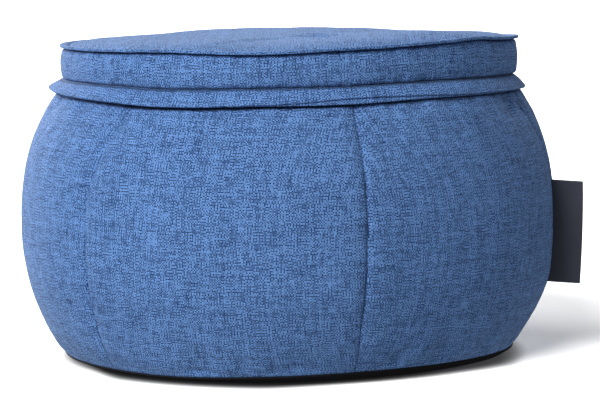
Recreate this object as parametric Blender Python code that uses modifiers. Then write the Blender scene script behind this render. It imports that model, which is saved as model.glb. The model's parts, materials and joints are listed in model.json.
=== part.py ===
"""Bean bag footstool: a low round pouf of woven cloth.

Six crowned gores make the filled bag. A boxed pad with a sewn-on top panel closes it, and
a loose flange of two leaves drapes over the shoulder between them. A dark round cloth
carries the foot, and a folded ribbon is caught in the right seam.

Metres, +Z up, standing on z = 0 with its axis at x = y = 0. Azimuths are in degrees from
the front (-Y) toward the right (+X). Each round piece is an outline turned in the same
columns, whose rings are then moved by the rules below, so pieces that lie on each other
move together and keep the gap between them.
"""

import math
from collections import namedtuple

import bmesh
import bpy
import numpy as np

MM = 0.001
GAP = 0.3 * MM              # between pieces that touch
PANEL_GAP = 0.6 * MM        # between the pad and its top panel, which are creased

# Driving dimensions of the bag
BELLY_RADIUS = 0.300
BELLY_HEIGHT = 0.150
SHOULDER_RADIUS = 0.262     # where the flange begins to hide the bag
SHOULDER_HEIGHT = 0.292
FOOT_RADIUS = 0.2550        # the seam between the bag and the base cloth
FOOT_HEIGHT = 0.0085
SHOULDER_FULLNESS = 2.4     # powers of the belly's curve, up and down
FOOT_FULLNESS = 2.2
SEAT_RADIUS = 0.229         # the bag's middle, which carries the pad
SEAT_SLOPE = 4.5 * MM       # from the seat down to the rim
RIM_RADIUS = 0.244          # the bag's flat rim, which carries the flange
RIM_HEIGHT = 0.3076
RIM_FALL = 1.35             # power of the curve from the rim to the shoulder

# Driving dimensions of the sewn pieces
CLOTH = 2.0 * MM            # a leaf of the flange
LEAF_GAP = 0.5 * MM
BASE_CLOTH = 1.5 * MM
TOP_CLOTH = 2.2 * MM
LIP_CLOTH = 3.6 * MM        # the top panel's turned-out edge, two cloths thick
BAND_RADIUS = 0.257
BAND_HEIGHT = 0.0345
BAND_ROWS = (1.0, 0.88, 0.65, 0.35, 0.0, -0.35, -0.65, -0.88, -1.0)
BAND_PULL_TOP = 8.5 * MM    # how far the band is drawn in at its two edges
BAND_PULL_FOOT = 6.5 * MM
LIP_RADIUS = 0.2567
LIP_RISE = 0.6 * MM         # the lip stands a little above the panel's underside
LIP_ROUND = 1.2 * MM
STITCH_RADIUS = 0.2455      # the stitching between the top panel and its lip
TOP_RINGS = (0.0, 0.05, 0.10, 0.145, 0.185, 0.215, 0.236, STITCH_RADIUS)
CROWN = 4.0 * MM            # how far the top panel is puffed up
FLAT_FOOT_RADIUS = 0.2265   # the base cloth lies flat within this radius
BASE_TURN_RADIUS = 0.244    # where it has begun to turn up
BASE_TURN_RISE = 0.4        # and the share of its rise there
BASE_EDGE_RADIUS = FOOT_RADIUS - 2.5 * MM
BASE_EDGE_DROP = 1.3 * MM   # from the foot seam down to the edge of the base cloth

# Levels of the stack at the flange's seam
UNDER_LEAF_Z = RIM_HEIGHT + GAP + CLOTH / 2
UPPER_LEAF_Z = UNDER_LEAF_Z + CLOTH + LEAF_GAP
FLANGE_MIDDLE_Z = (UNDER_LEAF_Z + UPPER_LEAF_Z) / 2
PAD_FOOT_Z = UPPER_LEAF_Z + CLOTH / 2 + GAP
PAD_TOP_Z = PAD_FOOT_Z + BAND_HEIGHT

# The flange: where it starts, where it bends over the seam, and its usual free length
FLANGE_ROOT_RADIUS = 0.2355
FLANGE_BEND_RADIUS = 0.2495
FLANGE_FREE = 22.0 * MM
FLANGE_ROWS = (0.13, 0.35, 0.57, 0.79, 0.97)
FLANGE_CORNER = 4.0 * MM    # radius of the bend over the seam

# The six seams, drawn into the bag
GORES = 6
GORE_ANGLE = 360 / GORES
COLUMNS = 12 * GORES
SHOULDER_ROWS = 5
BELLY_ROWS = 17
CROWDING = 0.5              # columns stand closer together beside a seam
SEAM_DRAW = 4.0 * MM        # a gore's crown over its two seams
SEAM_GROOVE = 2.2 * MM
SEAM_REACH = 9.0 * MM
FOOT_DRAW = 0.3             # share of the drawing in that is left at the foot
FOOT_DRAW_HEIGHT = 0.06     # and the height over which it fades

# Where the cloth's unevenness begins and ends
LIFT_START = 0.20           # the bag is level below this height
LIFT_FULL = 0.30
SEAM_LIFT_START = 0.284     # only the rim rises with the flange's seam
FOOT_REACH_HEIGHT = 0.07    # the foot is out of round up to here
SHARP_EDGE = 50             # degrees
MIDDLE_RING = 0.12          # one ring of points across each hidden flat side

Seam = namedtuple("Seam", "place top belly foot")
SEAMS = (
    Seam("front", 15.9, 16.4, 16.0),
    Seam("right", 75.5, 84.0, 84.0),
    Seam("back right", 135.0, 136.0, 136.0),
    Seam("back", 195.0, 196.0, 195.5),
    Seam("back left", 255.0, 253.0, 253.5),
    Seam("left", 317.5, 313.0, 312.5),
)
SEAM_HEIGHTS = (0.05, 0.19, 0.27)     # of the foot, belly and top azimuths

# How the cloth strays from an even ring, in mm: the rise of the whole lid, of the flange's
# seam and of the lip over it, and how far the lid and the foot reach out
Wave = namedtuple("Wave", "azimuth lid seam lip out foot")
WAVES = (
    Wave(-90, -1.4, 0.4, -0.6, -3.0, 1.0),
    Wave(-53, -0.4, 2.2, 1.4, -1.8, 0.8),
    Wave(-30, 0.5, 1.0, 3.0, -0.6, 0.2),
    Wave(-8, 0.0, 3.4, 1.6, 0.0, -0.2),
    Wave(15, 1.2, 3.6, 3.4, 0.0, -0.6),
    Wave(30, 2.2, 3.4, 4.0, -0.4, -1.0),
    Wave(43, 2.8, 3.2, 4.4, -0.6, -1.4),
    Wave(62, 2.6, 1.6, 3.6, -0.2, -2.0),
    Wave(90, 1.6, -0.6, 0.2, 0.8, -2.4),
    Wave(130, -1.2, 1.0, -1.0, 0.6, -1.2),
    Wave(175, -0.8, 2.0, -1.2, -0.8, 0.4),
    Wave(225, -1.4, 1.0, -1.4, -1.4, 1.0),
)

# How the flange hangs: its slope below level at the seam and at its edge, in degrees, and
# the free length of each leaf in mm
Hang = namedtuple("Hang", "azimuth slope_in slope_out upper under")
HANGS = (
    Hang(-90, 26, 34, 26.5, 25.5),
    Hang(-70, 30, 38, 24.0, 23.0),
    Hang(-50, 42, 50, 22.5, 21.5),
    Hang(-25, 48, 58, 23.0, 22.0),
    Hang(-4, 46, 56, 21.5, 21.5),
    Hang(16, 46, 58, 16.5, 22.0),
    Hang(28, 45, 58, 17.5, 21.5),
    Hang(42, 42, 58, 20.5, 21.5),
    Hang(65, 36, 60, 21.5, 21.0),
    Hang(90, 30, 60, 22.5, 21.5),
    Hang(135, 36, 54, 22.5, 21.5),
    Hang(180, 44, 54, 22.0, 21.5),
    Hang(225, 38, 50, 22.0, 22.5),
)

# Broad dents in the bag: place, reach to each side, and depth
Dent = namedtuple("Dent", "azimuth height half_angle half_height depth_mm")
DENTS = (
    Dent(66, 0.278, 4.0, 0.016, 4.0),
    Dent(27, 0.252, 5.0, 0.022, 1.6),
    Dent(38, 0.240, 4.0, 0.030, 1.4),
    Dent(6, 0.240, 3.5, 0.012, 1.2),
    Dent(-20, 0.030, 5.0, 0.014, 2.0),
    Dent(2, 0.026, 5.0, 0.012, 2.0),
    Dent(84, 0.078, 9.0, 0.030, -2.5),
    Dent(-70, 0.120, 9.0, 0.060, 1.5),
    Dent(160, 0.230, 7.0, 0.030, 2.0),
    Dent(215, 0.060, 8.0, 0.030, 2.0),
)

# Shallow folds in the top panel: middle, half length and half width, direction from +X,
# and rise
Fold = namedtuple("Fold", "x y half_length half_width turn rise_mm")
FOLDS = (
    Fold(0.030, -0.005, 0.050, 0.026, 70, -3.0),
    Fold(-0.030, -0.060, 0.070, 0.016, 62, 1.8),
    Fold(0.022, -0.065, 0.045, 0.014, -68, 1.5),
    Fold(0.066, -0.020, 0.050, 0.016, -50, 1.5),
    Fold(-0.120, 0.030, 0.060, 0.030, 20, -1.2),
    Fold(0.130, 0.060, 0.060, 0.030, -30, -1.5),
)

# The label, folded over itself with both ends in the right seam
LABEL_BOTTOM = 0.079
LABEL_TOP = 0.194
LABEL_WIDTH = 0.0315
LABEL_CLOTH = 1.0 * MM
LABEL_SPREAD = 0.8 * MM     # from the middle of the label to that of each layer
LABEL_SEAT = 0.9 * MM       # from the bottom of the seam to the label
LABEL_WAVE = 1.2 * MM
LABEL_ROWS = 12
LABEL_SPANS = 6
LABEL_TURNS = 4
RIGHT_SEAM = 1              # its row in the table of seams


def ease(share):
    """A soft step from 0 to 1."""
    share = np.clip(share, 0.0, 1.0)
    return share * share * (3.0 - 2.0 * share)


def bell(offset, reach):
    """A soft bump of height 1 that fades beyond its reach."""
    return np.exp(-(offset / reach) ** 2)


def around(table, column, azimuth):
    """Reads a column of a table of azimuths, as a smooth curve that closes on itself."""
    at = np.array([row.azimuth for row in table], dtype=float)
    value = np.array([getattr(row, column) for row in table], dtype=float)
    at = np.concatenate((at[-1:] - 360, at, at[:2] + 360))
    value = np.concatenate((value[-1:], value, value[:2]))
    slope = np.zeros(len(at))
    slope[1:-1] = (value[2:] - value[:-2]) / (at[2:] - at[:-2])
    turned = (azimuth - at[1]) % 360 + at[1]
    row = np.clip(np.searchsorted(at, turned, side="right") - 1, 1, len(at) - 3)
    span = at[row + 1] - at[row]
    share = (turned - at[row]) / span
    lead = (1 + 2 * share) * (1 - share) ** 2 * value[row] + share ** 2 * (3 - 2 * share) * value[row + 1]
    bend = share * (1 - share) * span * ((1 - share) * slope[row] - share * slope[row + 1])
    return lead + bend


def seam_azimuth(index, height):
    """Where a seam runs at a height; the seam after the last is the first, one turn on."""
    seam = SEAMS[index % GORES]
    return np.interp(height, SEAM_HEIGHTS, (seam.foot, seam.belly, seam.top)) + 360 * (index // GORES)


def place_in_gore(turned):
    """The gore that a turned column lies in, and its share of the way across."""
    steps = (turned % 360) / GORE_ANGLE
    gore = np.minimum(np.floor(steps), GORES - 1).astype(int)
    return gore, steps - gore


def column_azimuth(turned, height):
    """Moves evenly turned columns onto the seams, and crowds them beside each seam."""
    gore, share = place_in_gore(turned)
    share = share - CROWDING * np.sin(2 * np.pi * share) / (2 * np.pi)
    azimuth = np.zeros(len(turned))
    for index in range(GORES):
        here = gore == index
        start = seam_azimuth(index, height[here])
        end = seam_azimuth(index + 1, height[here])
        azimuth[here] = start + (end - start) * share[here]
    return azimuth


def lift(azimuth, height):
    """How far the waves raise a point; the bag's belly and foot stay level."""
    lid = ease((height - LIFT_START) / (LIFT_FULL - LIFT_START)) * around(WAVES, "lid", azimuth)
    below = ease((height - SEAM_LIFT_START) / (RIM_HEIGHT - SEAM_LIFT_START))
    above = ease((PAD_TOP_Z - height) / (PAD_TOP_Z - PAD_FOOT_Z))
    seam = below * above * around(WAVES, "seam", azimuth)
    lip = ease((height - PAD_FOOT_Z) / (PAD_TOP_Z - PAD_FOOT_Z)) * around(WAVES, "lip", azimuth)
    return (lid + seam + lip) * MM


def foot_reach(azimuth, radius, height):
    """How far the foot of the bag, and the base cloth with it, stands out of round."""
    near = (1 - ease(height / FOOT_REACH_HEIGHT)) * (radius / FOOT_RADIUS) ** 2
    return near * around(WAVES, "foot", azimuth) * MM


def puff(radius, azimuth):
    """How far the top of the pad rises inside the stitching: its crown and its folds."""
    share = np.clip(radius / STITCH_RADIUS, 0.0, 1.0)
    x = radius * np.sin(np.radians(azimuth))
    y = -radius * np.cos(np.radians(azimuth))
    rise = CROWN * (1 - share ** 5)
    for fold in FOLDS:
        turn = math.radians(fold.turn)
        along = (x - fold.x) * math.cos(turn) + (y - fold.y) * math.sin(turn)
        across = (y - fold.y) * math.cos(turn) - (x - fold.x) * math.sin(turn)
        bump = bell(along, fold.half_length) * bell(across, fold.half_width)
        rise = rise + (1 - share ** 4) * bump * fold.rise_mm * MM
    return rise


def draw_in(radius, azimuth, height, share):
    """The bag's skin: crowned between its seams, grooved along them, and dented."""
    from_seam = np.minimum(share, 1 - share)
    share_of_turn = from_seam - CROWDING * np.sin(2 * np.pi * from_seam) / (2 * np.pi)
    arc = np.radians(share_of_turn * GORE_ANGLE) * radius
    drawn = SEAM_DRAW * (1 - 2 * share_of_turn) ** 2 + SEAM_GROOVE * bell(arc, SEAM_REACH)
    drawn = drawn * (FOOT_DRAW + (1 - FOOT_DRAW) * ease((height - FOOT_HEIGHT) / FOOT_DRAW_HEIGHT))
    hidden = (radius - RIM_RADIUS) / (SHOULDER_RADIUS - RIM_RADIUS)
    drawn = drawn * np.where(height > SHOULDER_HEIGHT, ease(hidden), 1.0)
    for dent in DENTS:
        offset = (azimuth - dent.azimuth + 180) % 360 - 180
        drawn = drawn + dent.depth_mm * MM * bell(offset, dent.half_angle) * bell(
            height - dent.height, dent.half_height)
    return radius - drawn


def shape_bag(turned, radius, height):
    azimuth = column_azimuth(turned, height)
    skin = (radius > RIM_RADIUS + MM) & (height >= FOOT_HEIGHT - 0.1 * MM)
    share = place_in_gore(turned)[1]
    drawn = draw_in(radius, azimuth, height, share)
    radius = np.where(skin, drawn, radius)
    radius = radius + foot_reach(azimuth, radius, height)
    return azimuth, radius, height + lift(azimuth, height)


def shape_base(turned, radius, height):
    azimuth = column_azimuth(turned, height)
    return azimuth, radius + foot_reach(azimuth, radius, height), height


def shape_lid(turned, radius, height):
    azimuth = column_azimuth(turned, height)
    topmost = ease((height - PAD_TOP_Z + 2 * MM) / (2 * MM))
    inside = radius < STITCH_RADIUS + 0.1 * MM
    rise = np.where(inside, topmost * puff(radius, azimuth), 0.0)
    out = around(WAVES, "out", azimuth) * MM * (radius / BAND_RADIUS) ** 2
    return azimuth, radius + out, height + lift(azimuth, height) + rise


def follow(slope_in, slope_out, length):
    """The end of a curve that starts at a slope below level and bends evenly to another."""
    turn = np.where(np.abs(slope_out - slope_in) < 1e-4, 1e-4, slope_out - slope_in)
    reach = length * (np.sin(slope_in + turn) - np.sin(slope_in)) / turn
    drop = length * (np.cos(slope_in) - np.cos(slope_in + turn)) / turn
    return reach, drop


def hang_leaf(free_length):
    """A rule that drapes a flat ring: out to the bend, over the seam, then down its slope."""

    def shape(turned, radius, height):
        azimuth = column_azimuth(turned, height)
        slope_in = np.radians(around(HANGS, "slope_in", azimuth))
        slope_out = np.radians(around(HANGS, "slope_out", azimuth))
        whole = around(HANGS, free_length, azimuth) * MM
        free = np.maximum(radius - FLANGE_BEND_RADIUS, 0.0) * whole / FLANGE_FREE
        corner = FLANGE_CORNER * slope_in
        bent = np.minimum(free, corner)
        hung = free - bent
        slope_here = slope_in * bent / corner
        reach, drop = follow(np.zeros(len(free)), slope_here, bent)
        slope_end = slope_in + (slope_out - slope_in) * hung / (whole - corner)
        reach_out, drop_out = follow(slope_in, slope_end, np.maximum(hung, 1e-9))
        slope = np.where(hung > 0, slope_end, slope_here)
        off = height - FLANGE_MIDDLE_Z
        middle = np.minimum(radius, FLANGE_BEND_RADIUS) + reach + reach_out
        level = FLANGE_MIDDLE_Z - drop - drop_out
        raised = lift(azimuth, np.full(len(radius), FLANGE_MIDDLE_Z))
        return azimuth, middle + off * np.sin(slope), level + off * np.cos(slope) + raised

    return shape


def fabric(name, colour, roughness):
    """A cloth material of one colour."""
    material = bpy.data.materials.new(name)
    material.use_nodes = True
    shader = material.node_tree.nodes["Principled BSDF"]
    shader.inputs["Base Color"].default_value = (*colour, 1.0)
    shader.inputs["Roughness"].default_value = roughness
    shader.inputs["Metallic"].default_value = 0.0
    material.diffuse_color = (*colour, 1.0)
    return material


def turn_outline(name, outline, ring):
    """Turns an outline of (radius, height) points about Z, and returns the mesh."""
    points = [(radius, 0.0, height) for radius, height in outline]
    edges = [(index, index + 1) for index in range(len(points) - 1)]
    if ring:
        edges.append((len(points) - 1, 0))
    mesh = bpy.data.meshes.new(name + "_outline")
    mesh.from_pydata(points, edges, [])
    guide = bpy.data.objects.new(name + "_outline", mesh)
    bpy.context.scene.collection.objects.link(guide)
    screw = guide.modifiers.new("Turn", "SCREW")
    screw.axis = "Z"
    screw.angle = 2 * math.pi
    screw.steps = COLUMNS
    screw.render_steps = COLUMNS
    screw.use_merge_vertices = True
    screw.merge_threshold = 0.00001
    depsgraph = bpy.context.evaluated_depsgraph_get()
    turned = bpy.data.meshes.new_from_object(guide.evaluated_get(depsgraph))
    bpy.data.objects.remove(guide)
    turned.name = name
    return turned


def reshape(mesh, rule):
    """Moves each point by a rule from its turned angle, radius and height."""
    place = np.zeros(len(mesh.vertices) * 3, dtype=np.float32)
    mesh.vertices.foreach_get("co", place)
    place = place.reshape(-1, 3).astype(float)
    radius = np.hypot(place[:, 0], place[:, 1])
    turned = np.degrees(np.arctan2(place[:, 0], -place[:, 1])) % 360
    turned = np.where(radius < 1e-6, 0.0, np.round(turned, 3))
    azimuth, radius, height = rule(turned, radius, place[:, 2])
    angle = np.radians(azimuth)
    moved = np.column_stack((radius * np.sin(angle), -radius * np.cos(angle), height))
    mesh.vertices.foreach_set("co", moved.astype(np.float32).ravel())
    mesh.update()


def add_round(name, outline, rule, material, collection, ring=False):
    """Adds a turned and reshaped piece to the collection."""
    mesh = turn_outline(name, outline, ring)
    reshape(mesh, rule)
    mesh.materials.append(material)
    mesh.shade_smooth()
    mesh.set_sharp_from_angle(angle=math.radians(SHARP_EDGE))
    piece = bpy.data.objects.new(name, mesh)
    collection.objects.link(piece)
    return piece


def belly(height):
    """The bag's radius at a height, before its seams are drawn in."""
    if height > BELLY_HEIGHT:
        share = (height - BELLY_HEIGHT) / (SHOULDER_HEIGHT - BELLY_HEIGHT)
        return BELLY_RADIUS - (BELLY_RADIUS - SHOULDER_RADIUS) * share ** SHOULDER_FULLNESS
    share = (BELLY_HEIGHT - height) / (BELLY_HEIGHT - FOOT_HEIGHT)
    return BELLY_RADIUS - (BELLY_RADIUS - FOOT_RADIUS) * share ** FOOT_FULLNESS


def bag_outline():
    seat_z = PAD_FOOT_Z - GAP
    seat = [(0.0, seat_z), (MIDDLE_RING, seat_z), (SEAT_RADIUS, seat_z)]
    rim = [(SEAT_RADIUS + SEAT_SLOPE, RIM_HEIGHT)]
    for row in range(SHOULDER_ROWS):
        share = row / SHOULDER_ROWS
        radius = RIM_RADIUS + (SHOULDER_RADIUS - RIM_RADIUS) * share
        rim.append((radius, RIM_HEIGHT - (RIM_HEIGHT - SHOULDER_HEIGHT) * share ** RIM_FALL))
    side = []
    for row in range(BELLY_ROWS + 1):
        height = SHOULDER_HEIGHT + (FOOT_HEIGHT - SHOULDER_HEIGHT) * row / BELLY_ROWS
        side.append((belly(height), height))
    under = [(radius, height + GAP) for radius, height in base_top()]
    return seat + rim + side + under


def base_top():
    """The base cloth's upper side, from its turned-up edge to the middle."""
    edge_z = FOOT_HEIGHT - BASE_EDGE_DROP
    return [
        (BASE_EDGE_RADIUS, edge_z),
        (BASE_TURN_RADIUS, BASE_CLOTH + BASE_TURN_RISE * (edge_z - BASE_CLOTH)),
        (FLAT_FOOT_RADIUS, BASE_CLOTH),
        (MIDDLE_RING, BASE_CLOTH),
        (0.0, BASE_CLOTH),
    ]


def base_outline():
    top = base_top()[::-1]
    edge_z = top[-1][1]
    turn_z = top[-2][1]
    edge = [
        (BASE_EDGE_RADIUS + 0.8 * BASE_CLOTH, edge_z - 0.3 * BASE_CLOTH),
        (BASE_EDGE_RADIUS + 0.4 * BASE_CLOTH, edge_z - BASE_CLOTH),
        (BASE_TURN_RADIUS + 0.4 * BASE_CLOTH, turn_z - 0.9 * BASE_CLOTH),
    ]
    under = [(FLAT_FOOT_RADIUS, 0.0), (MIDDLE_RING, 0.0), (0.0, 0.0)]
    return top + edge + under


def pad_outline():
    top = [(radius, PAD_TOP_Z) for radius in TOP_RINGS]
    band = []
    middle = (PAD_TOP_Z + PAD_FOOT_Z) / 2
    for share in BAND_ROWS:
        pull = BAND_PULL_TOP if share > 0 else BAND_PULL_FOOT
        radius = BAND_RADIUS - pull * abs(share) ** 3
        band.append((radius, middle + share * BAND_HEIGHT / 2))
    foot = [(radius, PAD_FOOT_Z) for radius in (RIM_RADIUS, SEAT_RADIUS, MIDDLE_RING, 0.0)]
    return top + band + foot


def top_outline():
    foot_z = PAD_TOP_Z + PANEL_GAP
    top_z = foot_z + TOP_CLOTH
    lip_z = foot_z + LIP_RISE
    lip_top_z = lip_z + LIP_CLOTH
    top = [(radius, top_z) for radius in TOP_RINGS]
    lip = [
        (STITCH_RADIUS + 3.0 * MM, lip_top_z - 0.5 * LIP_RISE),
        (STITCH_RADIUS + 6.0 * MM, lip_top_z),
        (LIP_RADIUS - LIP_ROUND, lip_top_z),
        (LIP_RADIUS, lip_top_z - LIP_ROUND),
        (LIP_RADIUS, lip_z + LIP_ROUND),
        (LIP_RADIUS - LIP_ROUND, lip_z),
    ]
    under = [(radius, foot_z) for radius in TOP_RINGS[::-1]]
    return top + lip + under


def leaf_outline(middle_z):
    """A flat ring, one cloth thick, which is draped afterwards."""
    radii = [FLANGE_ROOT_RADIUS, FLANGE_BEND_RADIUS]
    for share in FLANGE_ROWS:
        radii.append(FLANGE_BEND_RADIUS + FLANGE_FREE * share)
    top = [(radius, middle_z + CLOTH / 2) for radius in radii]
    edge = [(FLANGE_BEND_RADIUS + FLANGE_FREE, middle_z)]
    under = [(radius, middle_z - CLOTH / 2) for radius in radii[::-1]]
    return top + edge + under


def seam_radius(height):
    """The bottom of the seam groove at a height."""
    radius = np.array([belly(height)])
    azimuth = np.array([seam_azimuth(RIGHT_SEAM, height)])
    return float(draw_in(radius, azimuth, np.array([height]), np.zeros(1))[0])


def label_section():
    """The folded label in plan, as (out from the seam, to the side): out, around, back."""
    out = [(LABEL_WIDTH * step / LABEL_SPANS, LABEL_SPREAD) for step in range(LABEL_SPANS)]
    turn = []
    for step in range(LABEL_TURNS + 1):
        angle = math.pi * step / LABEL_TURNS
        along = LABEL_WIDTH - LABEL_SPREAD * (1 - math.sin(angle))
        turn.append((along, LABEL_SPREAD * math.cos(angle)))
    back = [(along, -side) for along, side in out[::-1]]
    return out + turn + back


def add_label(material, collection):
    """The ribbon stands out of the right seam and follows it, with a slight wave."""
    section = label_section()
    shape = bmesh.new()
    rows = []
    for row in range(LABEL_ROWS + 1):
        height = LABEL_BOTTOM + (LABEL_TOP - LABEL_BOTTOM) * row / LABEL_ROWS
        angle = math.radians(float(seam_azimuth(RIGHT_SEAM, height)))
        start = seam_radius(height) + LABEL_SEAT
        wave = LABEL_WAVE * math.sin(2 * math.pi * row / LABEL_ROWS)
        points = []
        for along, side in section:
            side = side + wave * (along / LABEL_WIDTH) ** 2
            x = (start + along) * math.sin(angle) + side * math.cos(angle)
            y = -(start + along) * math.cos(angle) + side * math.sin(angle)
            points.append(shape.verts.new((x, y, height)))
        rows.append(points)
    for lower, upper in zip(rows, rows[1:]):
        for index in range(len(section) - 1):
            shape.faces.new((lower[index], lower[index + 1], upper[index + 1], upper[index]))
    mesh = bpy.data.meshes.new("label")
    shape.to_mesh(mesh)
    shape.free()
    mesh.materials.append(material)
    label = bpy.data.objects.new("label", mesh)
    collection.objects.link(label)
    solid = label.modifiers.new("Thickness", "SOLIDIFY")
    solid.thickness = LABEL_CLOTH
    solid.offset = 0.0
    return label


def main():
    for item in list(bpy.data.objects):
        bpy.data.objects.remove(item)
    collection = bpy.data.collections.new("Bean bag footstool")
    bpy.context.scene.collection.children.link(collection)

    blue = fabric("blue weave", (0.09, 0.19, 0.42), 0.85)
    dark = fabric("dark base cloth", (0.02, 0.02, 0.025), 0.9)
    ribbon = fabric("black ribbon", (0.025, 0.026, 0.035), 0.55)

    add_round("bag", bag_outline(), shape_bag, blue, collection)
    add_round("base_panel", base_outline(), shape_base, dark, collection)
    add_round("flange_lower", leaf_outline(UNDER_LEAF_Z), hang_leaf("under"), blue, collection, ring=True)
    add_round("flange_upper", leaf_outline(UPPER_LEAF_Z), hang_leaf("upper"), blue, collection, ring=True)
    add_round("lid_pad", pad_outline(), shape_lid, blue, collection)
    add_round("lid_top", top_outline(), shape_lid, blue, collection)
    add_label(ribbon, collection)


if __name__ == "__main__":
    main()
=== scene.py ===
"""Bean bag footstool: its woven cloth, seams and stitching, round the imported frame.

Metres, +Z up, standing on z = 0 with its axis at x = y = 0. Azimuths are in degrees from
the front (-Y) toward the right (+X). Each round piece is a grid of points: its columns go
right round and crowd together beside the bag's seams, and its rows follow the outline.
"""

import json
import math
from collections import namedtuple

import bpy
import numpy as np
from mathutils import Matrix

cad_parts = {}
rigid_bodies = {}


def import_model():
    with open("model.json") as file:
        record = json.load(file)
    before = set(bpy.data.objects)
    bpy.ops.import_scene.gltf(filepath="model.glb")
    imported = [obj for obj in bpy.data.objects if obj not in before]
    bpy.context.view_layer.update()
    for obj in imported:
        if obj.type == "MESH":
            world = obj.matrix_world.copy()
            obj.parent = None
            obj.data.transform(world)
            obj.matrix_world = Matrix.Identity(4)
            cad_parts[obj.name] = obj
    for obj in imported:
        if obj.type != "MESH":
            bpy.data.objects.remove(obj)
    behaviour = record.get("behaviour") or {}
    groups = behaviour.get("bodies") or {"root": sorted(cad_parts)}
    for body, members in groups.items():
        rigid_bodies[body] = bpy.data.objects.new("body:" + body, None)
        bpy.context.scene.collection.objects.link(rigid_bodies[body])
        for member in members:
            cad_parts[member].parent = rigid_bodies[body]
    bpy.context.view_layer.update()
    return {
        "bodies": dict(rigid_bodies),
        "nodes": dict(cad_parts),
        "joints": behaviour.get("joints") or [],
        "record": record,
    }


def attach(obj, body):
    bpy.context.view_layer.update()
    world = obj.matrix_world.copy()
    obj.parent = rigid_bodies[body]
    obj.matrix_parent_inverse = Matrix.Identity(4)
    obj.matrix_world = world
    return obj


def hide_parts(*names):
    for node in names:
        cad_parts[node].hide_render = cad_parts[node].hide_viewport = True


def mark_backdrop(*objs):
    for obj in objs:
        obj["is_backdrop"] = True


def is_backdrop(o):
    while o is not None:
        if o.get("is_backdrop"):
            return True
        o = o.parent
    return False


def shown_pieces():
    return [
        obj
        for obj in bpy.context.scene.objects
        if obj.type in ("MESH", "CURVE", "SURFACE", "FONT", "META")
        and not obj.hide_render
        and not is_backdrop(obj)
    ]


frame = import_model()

bl_info = {
    "name": "Bean Bag Footstool",
    "version": (1, 0, 0),
    "blender": (4, 5, 0),
    "location": "View3D > Sidebar > Footstool",
    "description": "Sews the cloth, seams and stitching of a round bean bag footstool",
    "category": "Add Mesh",
}

MM = 0.001
GAP = 0.3 * MM              # between pieces that touch
PANEL_GAP = 0.6 * MM        # between the pad and its top panel

# The bag, and its hidden top that carries the lid
SHOULDER_HEIGHT = 0.292
FOOT_HEIGHT = 0.0085
SHOULDER_FULLNESS = 2.4     # powers of the belly's curve, up and down
FOOT_FULLNESS = 2.2
SEAT_RADIUS = 0.229
SEAT_SLOPE = 4.5 * MM
RIM_RADIUS = 0.244
RIM_HEIGHT = 0.3076
RIM_FALL = 1.35             # power of the slope from the rim to the shoulder

# The cloths
CLOTH = 2.0 * MM            # a leaf of the flange
LEAF_GAP = 0.5 * MM
BASE_CLOTH = 1.5 * MM
TOP_CLOTH = 2.2 * MM
LIP_CLOTH = 3.4 * MM        # two cloths on each other

# The lid
BAND_HEIGHT = 0.0345
BAND_PULL_TOP = 5.5 * MM    # how far its seams draw the band in
BAND_PULL_FOOT = 4.5 * MM
BAND_SLIT = 2.5 * MM
LIP_RISE = 0.3 * MM
STITCH_RADIUS = 0.2455
CROWN = 7.0 * MM
CROWN_FULLNESS = 13         # power of the crown's fall toward the stitching
BAND_RADIUS = 0.257         # where the waves' reach outward and the band's cloth are measured
PAD_RINGS = (0.05, 0.10, 0.145, 0.185, 0.215, 0.236)
LIP_CLIMB = (               # mm past the stitching, and the share of the rise to the lip's top
    (1.0, 0.16), (2.0, 0.45), (3.0, 0.72), (4.2, 0.92), (5.6, 1.0), (7.4, 1.03))

# The base cloth
FLAT_FOOT_RADIUS = 0.2335   # where it leaves the floor
BASE_TURN_RADIUS = 0.2445   # where it turns up more steeply, and what share of its rise is done
BASE_TURN_RISE = 0.4
BASE_EDGE_IN = 2.5 * MM
BASE_EDGE_DROP = 1.3 * MM

# Levels of the stack at the flange's seam
UNDER_LEAF_Z = RIM_HEIGHT + GAP + CLOTH / 2
UPPER_LEAF_Z = UNDER_LEAF_Z + CLOTH + LEAF_GAP
FLANGE_MIDDLE_Z = (UNDER_LEAF_Z + UPPER_LEAF_Z) / 2
PAD_FOOT_Z = UPPER_LEAF_Z + CLOTH / 2 + GAP
PAD_TOP_Z = PAD_FOOT_Z + BAND_HEIGHT
PAD_MIDDLE_Z = (PAD_TOP_Z + PAD_FOOT_Z) / 2
PANEL_TOP_Z = PAD_TOP_Z + PANEL_GAP + TOP_CLOTH

# The flange
FLANGE_ROOT_RADIUS = 0.2355
FLANGE_BEND_RADIUS = 0.2495
FLANGE_FREE = 22.0 * MM     # the free length that its rows are laid out for
FLANGE_CORNER = 4.0 * MM    # the radius of its bend
FLANGE_HEM = (              # how much thicker its hem is, where on the free length, half width
    (0.22, 0.93, 0.09), (-0.10, 0.80, 0.05))
UNDER_LEAF = (UNDER_LEAF_Z, "under", 53)    # middle level, free length, seed of its ripples
UPPER_LEAF = (UPPER_LEAF_Z, "upper", 54)

# Seams and columns
GORES = 6
GORE_ANGLE = 360 / GORES
COLUMNS = 72 * GORES
CROWDING = 0.8              # columns stand closer together beside a seam
GORE_CUT = (0.733, 0.291)   # from one gore's place on the cloth to the next one's
SEAM_DRAW = 4.0 * MM        # a gore's crown over its two seams
FOOT_DRAW = 0.3             # the share of it at the foot, which grows to all by this height
FOOT_DRAW_HEIGHT = 0.06
SKIN_TOP = 0.300            # where the skin's relief has faded under the flange
MIDDLE_RING = 0.12
RIGHT_SEAM = 1

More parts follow.
